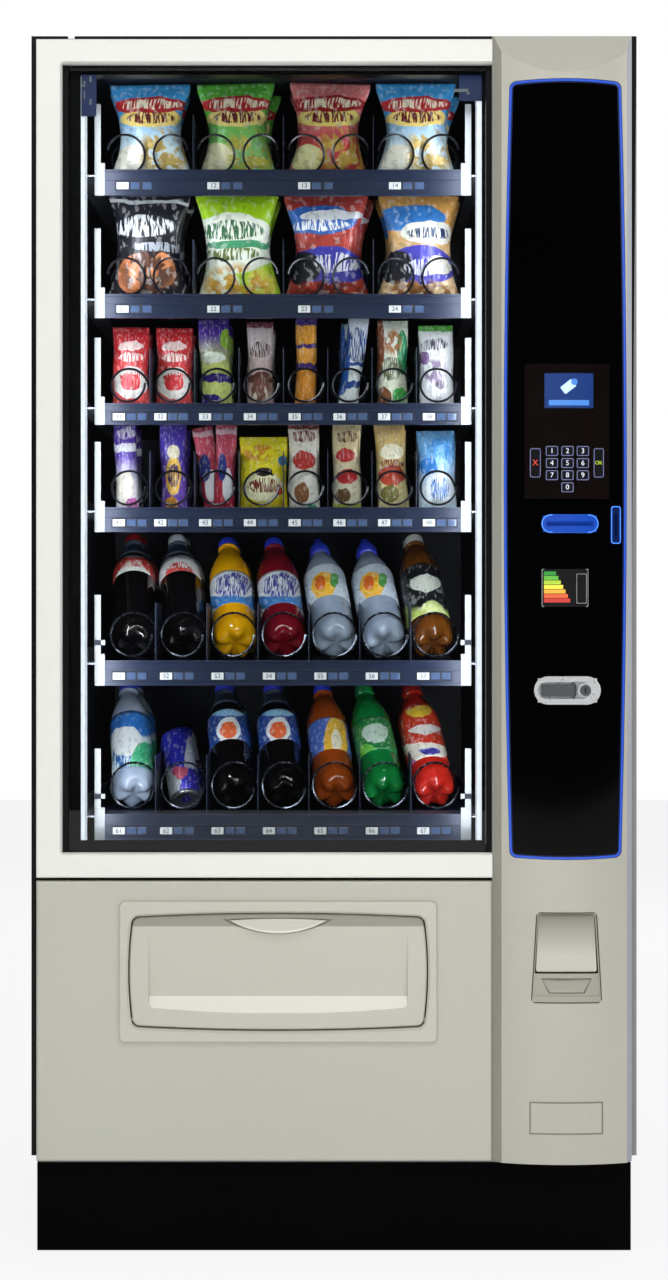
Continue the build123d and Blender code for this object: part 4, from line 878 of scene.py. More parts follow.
for name, top, height, selections, pitch, coils, radius in TRAYS:
    tray_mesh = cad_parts[name].data
    tray_mesh.materials.clear()
    # the four finishes are told apart by where a face lies: pan, rail, end brackets, dividers
    for material in (tray_navy, rail_navy, end_white, divider_grey):
        tray_mesh.materials.append(material)
    for polygon in tray_mesh.polygons:
        x, y, z = (1000 * value for value in polygon.center)
        index, off_mid = 0, abs(x - TRAY_MID)
        if y < RAIL_FACE + RAIL_DEPTH and off_mid < RAIL_HALF + 2 and z < top + 5:
            index = 1
        elif y < RAIL_FACE + RAIL_DEPTH + 1 and off_mid > RAIL_HALF - 1:
            index = 2
        elif z > top + 3 and DIVIDER_FRONT < y < DIVIDER_REAR and off_mid < DIVIDER_HALF:
            index = 3
        polygon.material_index = index
    low_z = top - height
    first = TRAY_MID - (selections - 1) / 2 * pitch
    rail_mid = low_z + height * 0.42
    tags, windows, lips, recesses = [], [], [], []
    for index in range(selections):
        left = first + (index - 0.5) * pitch + TAG_INSET[coils]
        if index == 0:
            left = max(left, TRAY_MID - FIRST_TAG)
        low, high = rail_mid - TAG_HALF, rail_mid + TAG_HALF
        tags.append(((left, FACE_Y - 1.0, low), (left + TAG_WIDE, FACE_Y, high)))
        for n in range(2):
            start = left + TAG_WIDE + 3 + n * WINDOW_PITCH[coils]
            windows.append(((start, FACE_Y - 0.9, low), (start + WINDOW_WIDE, FACE_Y, high)))
        low, high = rail_mid - RECESS_HALF, rail_mid + RECESS_HALF
        recesses.append(((left - 2, FACE_Y - 0.5, low), (start + WINDOW_WIDE + 2, FACE_Y, high)))
    for low, high, stand in (
        (low_z, low_z + 3.5, 2.2), (top + 0.5, top + 4, 1.6), (rail_mid + 8, rail_mid + 10, 1.2)
    ):
        lips.append(((TRAY_MID - RAIL_HALF, FACE_Y - stand, low), (TRAY_MID + RAIL_HALF, FACE_Y, high)))
    for kind, boxes, material, slot_name in (
        ("tags", tags, tag_glow_paint, "led_white"),
        ("windows", windows, window_blue, "tray_navy"),
        ("lips", lips, rail_navy, "tray_navy"),
        ("recesses", recesses, recess_navy, "tray_navy"),
    ):
        box_piece(f"{name}_{kind}", boxes, 0.0004, material, name)
    if radius == WIDE_COIL:
        latches, pads = [], []
        for side in (-1, 1):
            for boxes, start, end in ((latches, 285.5, 297.0), (pads, 279.5, 286.5)):
                x = sorted((TRAY_MID + side * start, TRAY_MID + side * end))
                boxes.append(((x[0], FACE_Y - 4.5, top + 28), (x[1], FACE_Y - 1.8, top + 36)))
        for kind, boxes, material in (("latches", latches, recess_navy), ("latch_pads", pads, end_white)):
            box_piece(f"{name}_{kind}", boxes, 0.0006, material, name)
    for n, (low, high) in enumerate(tags, 1):
        place = ((low[0] + TAG_WIDE / 2) / 1000, (FACE_Y - 1.0) / 1000, rail_mid / 1000)
        lettering(f"{name}_number_{n}", f"{name[-1]}{n}", 0.010, place, numeral_ink, name)

# Two pressed blue brackets with pale screws and clips hold the pane's upper corners.
bracket_blue = coated(
    "blue_bracket_enamel", ("#15234a", "#1e3060", 40), (4, 0.05, (0.35, 0.45)), Coat_Weight=0.2
)
BACK_Y, BIT_Y = (-390.4, -388.0), (-391.2, -390.0)
# piece, finish, front and rear, then left, right, bottom and top of each plate (millimetres)
BRACKETS = (
    ("corner_brackets", bracket_blue, BACK_Y, ((-381.5, -358.8, 1713, 1787), (188.7, 231.0, 1736, 1787))),
    (
        "bracket_fittings", end_white, BIT_Y,
        (
            (-380.5, -375.5, 1757, 1760), (-378, -375.5, 1760.5, 1766), (-377.7, -375.5, 1738.7, 1750.8),
            (-369.4, -365.6, 1764.4, 1773.5), (-369.4, -365.6, 1729.6, 1738.7),
            (181.0, 202.5, 1749.3, 1753.8), (200.5, 204.5, 1745.5, 1749.0), (205.5, 226.5, 1776.6, 1781),
        ),
    ),
)
for name, material, depth, plates in BRACKETS:
    boxes = [((x0, depth[0], z0), (x1, depth[1], z1)) for x0, x1, z0, z1 in plates]
    box_piece(name, boxes, 0.0004, material, "door")

# Coils are spring wire with a black nylon coat; the low coils of the bottle trays are bare bright.
coil_black = coated(
    "black_nylon_wire", ("#0c0d12", "#171922", 20), (6, 0.05, (0.25, 0.35)), Coat_Weight=0.4,
    Coat_Roughness=0.2,
)
coil_bright = coated("bright_spring_wire", ("#6a7078", "#868c94", 20), (6, 0.05, (0.22, 0.32)), Metallic=1.0)
finish_nodes(coil_black, "coils_1", "coils_2", "coils_3", "coils_4", "drive_coil")
finish_nodes(coil_bright, "coils_5", "coils_6")


# --- Stock: film bags and bars -------------------------------------------------------------------
# Sealed foil-film packs with made-up colour fields; each stands on its tray inside the coils.
# Film is glossy and creased: the creases run from the crimped seals, which are drawn in the mesh.
def soft_mask(tree, value, edge, width):
    """0 to 1 where a value passes an edge, over a soft width."""
    return share_of(tree, value, edge - width, edge + width)


def ellipse_mask(tree, axes, centre, size, soft=0.05):
    """1 inside an ellipse on the pack's face, given in parts of its width and height."""
    terms = []
    for axis, middle, half in zip(("X", "Z"), centre, size):
        shifted = maths(tree, "SUBTRACT", {1: middle}, {0: (axes, axis)})
        scaled = maths(tree, "DIVIDE", {1: half}, {0: (shifted, 0)})
        terms.append(maths(tree, "MULTIPLY", links={0: (scaled, 0), 1: (scaled, 0)}))
    total = maths(tree, "ADD", links={0: (terms[0], 0), 1: (terms[1], 0)})
    return share_of(tree, (total, 0), 1 + soft, 1 - soft)


def broken(tree, point, mask, scale, level):
    """A mask broken up by noise: fine dashes where one scale is large, else small patches."""
    stretch = add_node(tree, "ShaderNodeMapping", {"Scale": scale}, {"Vector": (point, 1)})
    cells = noise_of(tree, 1.0, 1.0, (stretch, 0))
    step = soft_mask(tree, (cells, "Fac"), level, 0.025)
    return maths(tree, "MULTIPLY", links={0: (mask, "Result"), 1: (step, "Result")})


def mark(kind):
    """A maker of marks of one kind: colour, then middle and half size in parts of the pack's face."""
    return lambda colour, x, z, half_x, half_z: (kind, colour, (x, z), (half_x, half_z))


def band(colour, z, half_z):
    """A stripe right across the pack."""
    return ("band", colour, (0.5, z), (1, half_z))


# A plain ellipse, a block of strokes that stand for print but spell nothing, and a picture's patches.
spot, rows, blot = mark("spot"), mark("rows"), mark("blot")


def film(name, low, high, *marks, metallic=0.25, split=0.5, width=0.16):
    """Printed film: a ground that changes from low to high, with marks laid over it in turn."""
    material, tree, shader = new_material(
        name, Metallic=metallic, Coat_Weight=0.35, Coat_Roughness=0.18, Roughness=0.36
    )
    place = add_node(tree, "ShaderNodeTexCoord")
    warp = noise_of(tree, 3.2, 2.0, (place, "Generated"))
    bent = add_node(
        tree, "ShaderNodeMix", {"data_type": "VECTOR", 0: 0.10}, {4: (place, "Generated"), 5: (warp, "Color")}
    )
    axes = add_node(tree, "ShaderNodeSeparateXYZ", links={"Vector": (bent, 1)})
    ground_mask = soft_mask(tree, (axes, "Z"), split, width)
    colour = blend_of(tree, low, high, (ground_mask, "Result"))
    for kind, ink, centre, size in marks:
        if kind == "spot":
            mask = ellipse_mask(tree, axes, centre, size)
        elif kind == "rows":
            mask = broken(tree, bent, ellipse_mask(tree, axes, centre, size, 0.1), (46.0, 1.0, 9.0), 0.47)
        elif kind == "blot":
            mask = broken(tree, bent, ellipse_mask(tree, axes, centre, size, 0.4), (8.0, 8.0, 9.0), 0.46)
        else:
            mask = ellipse_mask(tree, axes, (0.5, centre[1]), (40.0, size[1]), 0.2)
        colour = mixed(tree, (colour, 2), ink, (mask, 0))
    for ink, scale, share in (("#ffffff", (17.0, 9.0, 15.0), 0.22), ("#0d0d14", (13.0, 7.0, 19.0), 0.24)):
        whole = ellipse_mask(tree, axes, (0.5, 0.5), (1.0, 0.55), 0.4)
        fleck = broken(tree, bent, whole, scale, 0.60)
        faint = maths(tree, "MULTIPLY", {1: share}, {0: (fleck, 0)})
        colour = mixed(tree, (colour, 2), ink, (faint, 0))
    paint(tree, shader, colour)
    crease = add_node(
        tree, "ShaderNodeTexNoise", {"Scale": 9.0, "Detail": 3.0, "Distortion": 0.6},
        {"Vector": (place, "Generated")}
    )
    set_bump(tree, shader, (crease, "Fac"), 0.6, 0.004)
    return material


def pack_mesh(name, place, size, material, tray, roll, lean, waist, flat, seed):
    """A filled film pack: two bulging faces, crimped top and bottom seals and a pulled-in waist.

    place is the middle of its foot and size its width, height and thickness, in millimetres;
    roll and lean are in degrees, waist is the pull-in, and a small flat gives a fuller face.
    """
    draw = random.Random(seed)
    across, up = 18, 26
    width, height, thick = size
    seal = 9.0 / height
    phases = [draw.uniform(0, math.tau) for _ in range(4)]
    counts = [draw.choice((3, 4, 5)), draw.choice((5, 6, 7))]
    corners, faces = [], []
    for face in (-1, 1):
        for row in range(up + 1):
            v = row / up
            body = min(max((v - seal) / (1 - 2 * seal), 0.0), 1.0)
            swell = math.sin(math.pi * body) ** flat if 0 < body < 1 else 0.0
            half = width / 2 * (1 - waist * math.sin(math.pi * body))
            for column in range(across + 1):
                u = 2 * column / across - 1
                bulge = (1 - abs(u) ** 2.8) ** 0.6 * swell
                y = face * (thick / 2 * bulge + 0.35)
                near = math.exp(-7 * body) + math.exp(-7 * (1 - body))
                crease = math.sin(u * counts[0] * 2.2 + phases[0])
                crease += 0.6 * math.sin(u * counts[1] * 2.6 + phases[1])
                y += face * near * crease * 0.045 * thick * (1 - abs(u) ** 4) * (1 if 0 < body < 1 else 0)
                dent = math.sin(3.1 * u + 5.3 * v + phases[2]) * math.sin(4.7 * v - 2.1 * u + phases[3])
                y += face * dent * 0.03 * thick * bulge
                if not 0 < body < 1:
                    y += 0.7 * (-1) ** column
                edge = 0.8 * math.sin(9 * v + phases[0]) * abs(u) ** 3
                corners.append((half * u + edge, y, height * v))
    row_size = across + 1
    sheet_size = row_size * (up + 1)
    for sheet in (0, 1):
        for row in range(up):
            for column in range(across):
                a = sheet * sheet_size + row * row_size + column
                quad = (a, a + 1, a + row_size + 1, a + row_size)
                faces.append(quad if sheet == 0 else quad[::-1])
    rim = list(range(row_size))
    rim += [row * row_size + across for row in range(1, up + 1)]
    rim += [up * row_size + column for column in range(across - 1, -1, -1)]
    rim += [row * row_size for row in range(up - 1, 0, -1)]
    for a, b in zip(rim, rim[1:] + rim[:1]):
        faces.append((b, a, a + sheet_size, b + sheet_size))
    turn = Matrix.Rotation(math.radians(-lean), 4, "X") @ Matrix.Rotation(math.radians(roll), 4, "Y")
    move = Matrix.Translation(Vector(place) / 1000) @ turn @ Matrix.Scale(0.001, 4)
    piece = mesh_piece(name, corners, faces, material, smooth=True)
    piece.data.transform(move)
    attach(piece, tray)


def centre_of(tray_index, selection):
    """The x of a selection's middle and the tray's floor, in millimetres."""
    _, top, _, selections, pitch, _, _ = TRAYS[tray_index]
    return TRAY_MID + (selection - (selections - 1) / 2) * pitch, top + 1.5


sea_blue = film(
    "film_sea_blue", "#dff2f8", "#3f9fdc",
    spot("#f3d77a", 0.5, 0.62, 0.34, 0.10), spot("#b8232a", 0.5, 0.74, 0.42, 0.075),
    spot("#f6f2df", 0.32, 0.22, 0.20, 0.14), band("#1668c0", 0.02, 0.05),
    rows("#6a1c20", 0.5, 0.62, 0.26, 0.06), rows("#f4e6c8", 0.5, 0.745, 0.34, 0.045),
    blot("#c9ab5e", 0.64, 0.3, 0.26, 0.2),
)
leaf_green = film(
    "film_leaf_green", "#8fd07a", "#5ab83c",
    spot("#f0dc86", 0.5, 0.62, 0.34, 0.10), spot("#b32028", 0.5, 0.74, 0.42, 0.075),
    spot("#f2edc4", 0.28, 0.24, 0.18, 0.14), band("#1f8a34", 0.02, 0.05),
    rows("#6a1c20", 0.5, 0.62, 0.26, 0.06), rows("#f4e6c8", 0.5, 0.745, 0.34, 0.045),
    blot("#c9c24e", 0.64, 0.3, 0.26, 0.2),
)
berry_red = film(
    "film_berry_red", "#c43a40", "#dd7f7c",
    spot("#ecd977", 0.5, 0.62, 0.34, 0.10), spot("#a01820", 0.5, 0.74, 0.42, 0.075),
    spot("#e9e2a4", 0.28, 0.24, 0.17, 0.12), spot("#f4f0e6", 0.22, 0.10, 0.16, 0.05),
    rows("#7a1c24", 0.5, 0.62, 0.26, 0.06), rows("#f4e6c8", 0.5, 0.745, 0.34, 0.045),
    blot("#d0a648", 0.64, 0.3, 0.26, 0.2),
)
charcoal = film(
    "film_charcoal", "#17161c", "#1d1d26",
    spot("#c9784a", 0.34, 0.27, 0.16, 0.15), spot("#d88a58", 0.66, 0.30, 0.13, 0.13),
    band("#d9dade", 0.86, 0.016), spot("#b9bdc4", 0.78, 0.08, 0.16, 0.04),
    rows("#e6e7ea", 0.44, 0.66, 0.34, 0.09), rows("#a9adb8", 0.6, 0.48, 0.28, 0.04),
    blot("#5c3420", 0.5, 0.28, 0.3, 0.16), metallic=0.15,
)
lime = film(
    "film_lime", "#b4d92c", "#a8d61c",
    spot("#f4f7ea", 0.42, 0.52, 0.5, 0.24), spot("#3f9a6a", 0.5, 0.50, 0.36, 0.035),
    spot("#eef2dc", 0.30, 0.18, 0.22, 0.14), spot("#d8dc58", 0.74, 0.2, 0.14, 0.12),
    rows("#2c6a3e", 0.42, 0.62, 0.34, 0.08), rows("#6a7a3c", 0.42, 0.42, 0.3, 0.05),
    blot("#d9a63a", 0.5, 0.2, 0.34, 0.14), metallic=0.15,
)
maroon = film(
    "film_maroon", "#b3402f", "#a83a34",
    spot("#2a62b4", 0.42, 0.72, 0.40, 0.12), spot("#e8eaf0", 0.56, 0.76, 0.34, 0.04),
    spot("#3c3aa0", 0.5, 0.34, 0.42, 0.15), spot("#15161f", 0.26, 0.32, 0.15, 0.13),
    spot("#e6d8cc", 0.78, 0.09, 0.16, 0.04), rows("#eef0f6", 0.42, 0.68, 0.32, 0.05),
    rows("#e8e4f0", 0.6, 0.36, 0.24, 0.07), blot("#7a2a1c", 0.5, 0.12, 0.4, 0.1),
)
caramel = film(
    "film_caramel", "#d3b489", "#c9944a",
    spot("#2f74ba", 0.42, 0.72, 0.38, 0.11), spot("#e9e6da", 0.60, 0.60, 0.30, 0.10),
    spot("#433fa6", 0.5, 0.34, 0.40, 0.15), spot("#17171f", 0.26, 0.32, 0.15, 0.13),
    spot("#e4dccb", 0.72, 0.34, 0.13, 0.07), rows("#22345c", 0.60, 0.60, 0.24, 0.05),
    rows("#e8e4f0", 0.56, 0.32, 0.24, 0.06), blot("#8a5a2a", 0.5, 0.12, 0.4, 0.1),
)
BAGS = (
    (0, (126, 155, 40), (sea_blue, leaf_green, berry_red, sea_blue)),
    (1, (134, 178, 42), (charcoal, lime, maroon, caramel)),
)
for tray_index, size, films in BAGS:
    tray = TRAYS[tray_index][0]
    for selection, material in enumerate(films):
        x, floor_z = centre_of(tray_index, selection)
        for depth in range(2):
            draw = random.Random(31 * tray_index + 7 * selection + depth)
            pack_mesh(
                f"bag_{tray_index + 1}_{selection + 1}_{depth + 1}",
                (x + draw.uniform(-3, 3), BAG_Y + COIL_PITCH * depth, floor_z),
                (size[0] + draw.uniform(-3, 5), size[1] + draw.uniform(-5, 2), size[2]), material, tray,
                roll=draw.uniform(-2.0, 2.0), lean=draw.uniform(-2, 1), waist=0.25, flat=0.6,
                seed=100 * tray_index + 10 * selection + depth,
            )

red_bar = film(
    "film_red_bar", "#d84a48", "#c2232b",
    spot("#f0e9e4", 0.5, 0.34, 0.40, 0.17), spot("#cf3038", 0.5, 0.34, 0.24, 0.08),
    spot("#e9c8c2", 0.5, 0.74, 0.3, 0.05), rows("#c2232b", 0.5, 0.40, 0.3, 0.04),
    rows("#f4e2dc", 0.5, 0.62, 0.3, 0.05),
)
lime_swirl = film(
    "film_lime_swirl", "#d4dc7a", "#45248f",
    spot("#e9eee0", 0.42, 0.56, 0.34, 0.06), band("#33207a", 0.36, 0.035),
    spot("#3d238a", 0.4, 0.16, 0.28, 0.05), spot("#8fb63a", 0.8, 0.74, 0.16, 0.10), split=0.62,
)
rose_silver = film(
    "film_rose_silver", "#d8b0ac", "#dccfd0",
    band("#8f4250", 0.93, 0.045), spot("#6e4038", 0.5, 0.36, 0.4, 0.06),
    spot("#efe3cf", 0.5, 0.2, 0.36, 0.08), rows("#5c3430", 0.5, 0.66, 0.36, 0.08),
    blot("#8a5a4c", 0.5, 0.24, 0.36, 0.14), metallic=0.45,
)
violet_orange = film(
    "film_violet_orange", "#e2902a", "#e8a02e",
    band("#4a2590", 0.94, 0.085), band("#4a2590", 0.04, 0.07), band("#3a1c70", 0.46, 0.03),
    band("#3a1c70", 0.66, 0.02),
)
ice_blue = film(
    "film_ice_blue", "#eef2f6", "#dfe8f2",
    spot("#1f5cb0", 0.16, 0.62, 0.24, 0.42), band("#2f9a76", 0.97, 0.03), band("#274f9c", 0.30, 0.03),
    band("#274f9c", 0.48, 0.02), rows("#1c3f86", 0.6, 0.66, 0.3, 0.16),
)
meadow = film(
    "film_meadow", "#d9dcc4", "#dfe3d4",
    spot("#8a4a24", 0.06, 0.7, 0.2, 0.34), spot("#1f8f5a", 0.78, 0.62, 0.16, 0.22),
    spot("#7a4a2a", 0.25, 0.18, 0.22, 0.1), spot("#3fa54a", 0.72, 0.2, 0.2, 0.08),
    rows("#5a5c3c", 0.45, 0.46, 0.34, 0.12), blot("#a9703c", 0.5, 0.72, 0.26, 0.12),
)
pale_green = film(
    "film_pale_green", "#e4e4e6", "#e9e9ea",
    band("#54a63a", 0.95, 0.07), spot("#7b5a8e", 0.2, 0.6, 0.12, 0.08),
    spot("#4a3a52", 0.58, 0.32, 0.12, 0.05), spot("#c8d8b4", 0.5, 0.08, 0.4, 0.05),
    rows("#4a3a52", 0.45, 0.74, 0.34, 0.06), blot("#8c7a96", 0.45, 0.46, 0.3, 0.12),
)
violet_bar = film(
    "film_violet_bar", "#e8e2ea", "#4f2b9c",
    spot("#efe6da", 0.45, 0.3, 0.34, 0.16), spot("#c25aa8", 0.72, 0.12, 0.2, 0.08),
    band("#f0eef6", 0.7, 0.04), rows("#f0e9f6", 0.5, 0.84, 0.34, 0.06), split=0.45,
)
violet_gold = film(
    "film_violet_gold", "#6a44a8", "#4b35a6",
    spot("#e6b448", 0.5, 0.42, 0.24, 0.2), spot("#f1e6c8", 0.5, 0.66, 0.2, 0.07),
    spot("#d8902c", 0.45, 0.14, 0.2, 0.07), rows("#3a1c60", 0.5, 0.42, 0.18, 0.12),
)
cherry_bar = film(
    "film_cherry_bar", "#b82a44", "#c24860",
    spot("#e8e4ee", 0.6, 0.32, 0.2, 0.16), spot("#2f3a8c", 0.4, 0.5, 0.16, 0.14), band("#e0b8c0", 0.86, 0.03),
)
lemon_bag = film(
    "film_lemon_bag", "#e9d21a", "#efe01e",
    spot("#efe9c2", 0.5, 0.34, 0.38, 0.17), spot("#3a2a22", 0.5, 0.52, 0.16, 0.06),
    spot("#3f86c0", 0.86, 0.66, 0.09, 0.06), spot("#c8452c", 0.8, 0.3, 0.06, 0.05),
    rows("#7a2c1c", 0.5, 0.36, 0.3, 0.08), blot("#d89a1c", 0.4, 0.76, 0.3, 0.1),
)
cocoa_top = film(
    "film_cocoa_top", "#e9e4dc", "#ece4da",
    band("#7d3527", 0.96, 0.09), spot("#c4362e", 0.5, 0.56, 0.3, 0.1), spot("#8a5a34", 0.45, 0.24, 0.22, 0.1),
    spot("#2fa070", 0.7, 0.06, 0.24, 0.06), rows("#7d3527", 0.5, 0.8, 0.34, 0.06),
)
gold_red = film(
    "film_gold_red", "#e6dcc0", "#e2cfa0",
    spot("#c92f34", 0.45, 0.62, 0.3, 0.07), spot("#c92f34", 0.5, 0.4, 0.34, 0.07),
    spot("#6b4a2a", 0.4, 0.22, 0.24, 0.07), band("#b8c84a", 0.06, 0.07),
    rows("#6b4a2a", 0.5, 0.8, 0.34, 0.06),
)
cream_gold = film(
    "film_cream_gold", "#dccb94", "#d8b670",
    spot("#b5432c", 0.5, 0.42, 0.34, 0.1), spot("#efe6c8", 0.5, 0.66, 0.3, 0.08),
    spot("#6f6a34", 0.46, 0.24, 0.24, 0.09), rows("#7a2c1c", 0.5, 0.54, 0.3, 0.05),
)
pale_sky = film(
    "film_pale_sky", "#cfe0ec", "#6aa8dc",
    spot("#e6eef4", 0.54, 0.3, 0.3, 0.2), spot("#2f7cc8", 0.3, 0.55, 0.2, 0.1), band("#4a78c0", 0.03, 0.05),
    rows("#2a5ca0", 0.56, 0.3, 0.22, 0.12), blot("#3f8ccf", 0.6, 0.76, 0.3, 0.1), metallic=0.35,
)
# tray, selection, film, width, height, thickness, shift, roll
BARS = (
    (2, 0, red_bar, 60, 134, 24, 0, 0), (2, 1, red_bar, 60, 133, 24, 0, 0.5),
    (2, 2, lime_swirl, 50, 148, 24, -2, -3), (2, 3, rose_silver, 43, 143, 22, -2, 0),
    (2, 4, violet_orange, 34, 152, 22, -1, 0.5), (2, 5, ice_blue, 33, 153, 22, -4, 7.5),
    (2, 6, meadow, 49, 145, 24, -2, 0.5), (2, 7, pale_green, 56, 137, 26, 0, -0.5),
    (3, 0, violet_bar, 37, 143, 22, -4, -2.5), (3, 1, violet_gold, 44, 142, 24, 0, -1.5),
    (3, 2, cherry_bar, 34, 143, 22, 8, 2), (3, 3, lemon_bag, 77, 121, 28, 2, 0),
    (3, 4, cocoa_top, 50, 145, 24, -2, -0.5), (3, 5, gold_red, 46, 144, 24, -4, -0.5),
    (3, 6, cream_gold, 50, 142, 24, 0, -3), (3, 7, pale_sky, 62, 131, 26, 0, -1),
)
for tray_index, selection, material, width, height, thick, shift, roll in BARS:
    tray = TRAYS[tray_index][0]
    x, floor_z = centre_of(tray_index, selection)
    for depth in range(2):
        draw = random.Random(53 * tray_index + 11 * selection + depth)
        pack_mesh(
            f"bar_{tray_index + 1}_{selection + 1}_{depth + 1}",
            (x + shift + draw.uniform(-1, 1), BAR_Y + COIL_PITCH * depth, floor_z),
            (width, height - 4 * depth, thick), material, tray, roll=roll * (1 - 0.6 * depth), lean=3,
            waist=0.04, flat=0.26, seed=500 + 10 * selection + depth + 100 * tray_index,
        )
x, floor_z = centre_of(3, 2)
pack_mesh(
    "bar_4_3_partner", (x - 6, PARTNER_Y, floor_z + 3), (34, 138, 18),
    cherry_bar, "tray_4", roll=-9, lean=6, waist=0.04, flat=0.26, seed=909,
)


# --- Stock: bottles and a can --------------------------------------------------------------------
# Half-litre PET bottles lean back in their coils with the five-lobed base to the front. The wall
# is glossy and takes its colour from the drink; sleeves and caps are separate pieces.
def lathe(name, profile, material, steps=40, lobes=None, ribs=0, ends=True):
    """Turns (radius, height) points round Z; lobes cuts five feet, ribs a knurled side."""
    corners, faces = [], []
    for radius, z in profile:
        for n in range(steps):
            angle = math.tau * n / steps
            r, up = radius, z
            if lobes and z < lobes:
                share = (lobes - z) / lobes
                valley = 0.5 - 0.5 * math.cos(5 * angle)
                r = radius * (1 - 0.16 * share * (1 - valley))
                up = z + 7.0 * share * (1 - valley) * min(radius / 14.0, 1.0)
            if ribs and n % 2:
                r = radius - ribs
            corners.append((r * math.cos(angle), r * math.sin(angle), up))
    for row in range(len(profile) - 1):
        for n in range(steps):
            m = (n + 1) % steps
            a, b = row * steps, (row + 1) * steps
            faces.append((a + n, a + m, b + m, b + n))
    if ends:
        faces.append(tuple(range(steps))[::-1])
        last = (len(profile) - 1) * steps
        faces.append(tuple(last + n for n in range(steps)))
    return mesh_piece(name, corners, faces, material, smooth=True)


def drink(name, colour, deep=None, rough=0.06):
    """A filled plastic bottle's wall: glossy, and tinted by the drink from deep to its own colour."""
    material, tree, shader = new_material(
        name, Roughness=rough, Coat_Weight=1.0, Coat_Roughness=0.03, IOR=1.5
    )
    place = add_node(tree, "ShaderNodeTexCoord")
    swirl = noise_of(tree, 4.0, 2.0, (place, "Generated"))
    paint(tree, shader, blend_of(tree, deep or colour, colour, (swirl, "Fac")))
    return material


def sleeve(name, ground, *marks):
    """A printed bottle sleeve; its marks are laid out across the sleeve's width and height."""
    return film(name, ground, ground, *marks, metallic=0.0)


BOTTLE = (
    (5, 7), (14, 2), (22, 0), (27.5, 2), (31, 8), (32.5, 16), (32.5, 34), (32.2, 62), (31.2, 68),
    (31.2, 70), (32.0, 76), (32.0, 128), (31.6, 134), (32.2, 140), (31.6, 152), (28.5, 168),
    (22.0, 186), (16.0, 199), (13.2, 206), (13.0, 210), (15.6, 211), (15.6, 213), (13.0, 214), (13.0, 217),
)
CAP = ((14.0, 214), (14.6, 214.5), (14.6, 228), (13.8, 229.6), (9.0, 230), (2.0, 230))
SPORT_CAP = (
    (15.4, 206), (16.0, 207), (16.0, 222), (14.0, 226), (9.0, 230), (7.6, 236), (7.6, 242), (5.0, 244),
    (1.5, 244),
)
CAN = (
    (10, 4), (18, 3.5), (21, 0), (23, 1), (26.5, 9), (26.5, 124), (24.5, 131), (24.5, 134), (23.6, 134.6),
    (22.6, 133), (21.6, 131.5), (2, 131.5),
)
CAN_END = ((2, 5.0), (10, 3.6), (18, 3.1), (20.8, -0.4), (23.2, 0.5), (25.4, 5.6), (25.0, 5.6))


# The radius that a bottle or a can rests on, and how much each tray's bottles are grown; the
# part of a cola bottle above the drink.
BOTTLE_FOOT, CAN_FOOT, GROWTH, NECK = 29, 22, {4: 1.09, 5: 1.05}, (176, 212)


def lay(piece, tray, place, lean, roll, radius, spin=0.0, grow=1.0):
    """Leans a turned piece back on its tray, resting on the rear of its base."""
    angle = math.radians(lean)
    turn = (
        Matrix.Rotation(math.radians(roll), 4, "Y")
        @ Matrix.Rotation(-angle, 4, "X")
        @ Matrix.Rotation(math.radians(spin), 4, "Z")
    )
    x, y, floor_z = place
    centre = Vector((x, y, floor_z + radius * grow * math.sin(angle))) / 1000
    piece.data.transform(Matrix.Translation(centre) @ turn @ Matrix.Scale(0.001 * grow, 4))
    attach(piece, tray)


def ring_profile(source, low, high, stand):
    """The part of a profile between two heights, moved out from the wall and closed in depth."""
    inside = [(r, z) for r, z in source if low < z < high]

    def radius_at(height):
        for (r0, z0), (r1, z1) in zip(source, source[1:]):
            if z0 <= height <= z1 and z1 > z0:
                return r0 + (r1 - r0) * (height - z0) / (z1 - z0)
        return source[-1][0]

    points = [(radius_at(low), low)] + inside + [(radius_at(high), high)]
    outer = [(r + stand, z) for r, z in points]
    return [(points[0][0], low)] + outer + [(points[-1][0], high)]


cola = drink("cola_bottle", "#0a0705", "#050303")
empty_neck = drink("empty_neck", "#3c4658", "#1c2230")
orange = drink("orange_squash", "#f0b400", "#e09600")
cassis = drink("cassis_squash", "#8c0f22", "#5e0814")
spring_water = drink("spring_water", "#b7c3d6", "#7c8aa4", 0.05)
amber_glass = drink("amber_bottle", "#7a4410", "#3d1e06")
ice_tea = drink("ice_tea", "#a4480e", "#7a300a")
green_pet = drink("green_bottle", "#0f8a3c", "#06602a")
blood_orange = drink("blood_orange", "#c92a1c", "#a01812")
cap_red = drink("cap_red", "#8e1418", rough=0.35)
cap_silver = drink("cap_silver", "#b6bcc2", rough=0.35)
cap_blue = drink("cap_blue", "#2a3fd0", rough=0.35)
cap_white = drink("cap_white", "#d9d9d2", rough=0.35)
cap_green = drink("cap_green", "#0d7a34", rough=0.35)
label_red = sleeve(
    "sleeve_red", "#c8342c",
    rows("#f4e2dc", 0.5, 0.5, 0.30, 0.34), spot("#f1efec", 0.5, 0.5, 0.36, 0.22), band("#f0eeec", 0.02, 0.1),
    band("#f0eeec", 0.98, 0.08),
)
label_white = sleeve(
    "sleeve_white", "#e6e7ea",
    rows("#c8342c", 0.5, 0.5, 0.30, 0.3), spot("#d84a44", 0.5, 0.55, 0.28, 0.14),
)
label_violet = sleeve(
    "sleeve_violet", "#eef0f4",
    rows("#3a3f9c", 0.5, 0.72, 0.36, 0.18), band("#3b7cc0", 0.48, 0.09),
    spot("#8f2f9a", 0.66, 0.24, 0.1, 0.1), spot("#e6b23a", 0.32, 0.24, 0.1, 0.08),
)
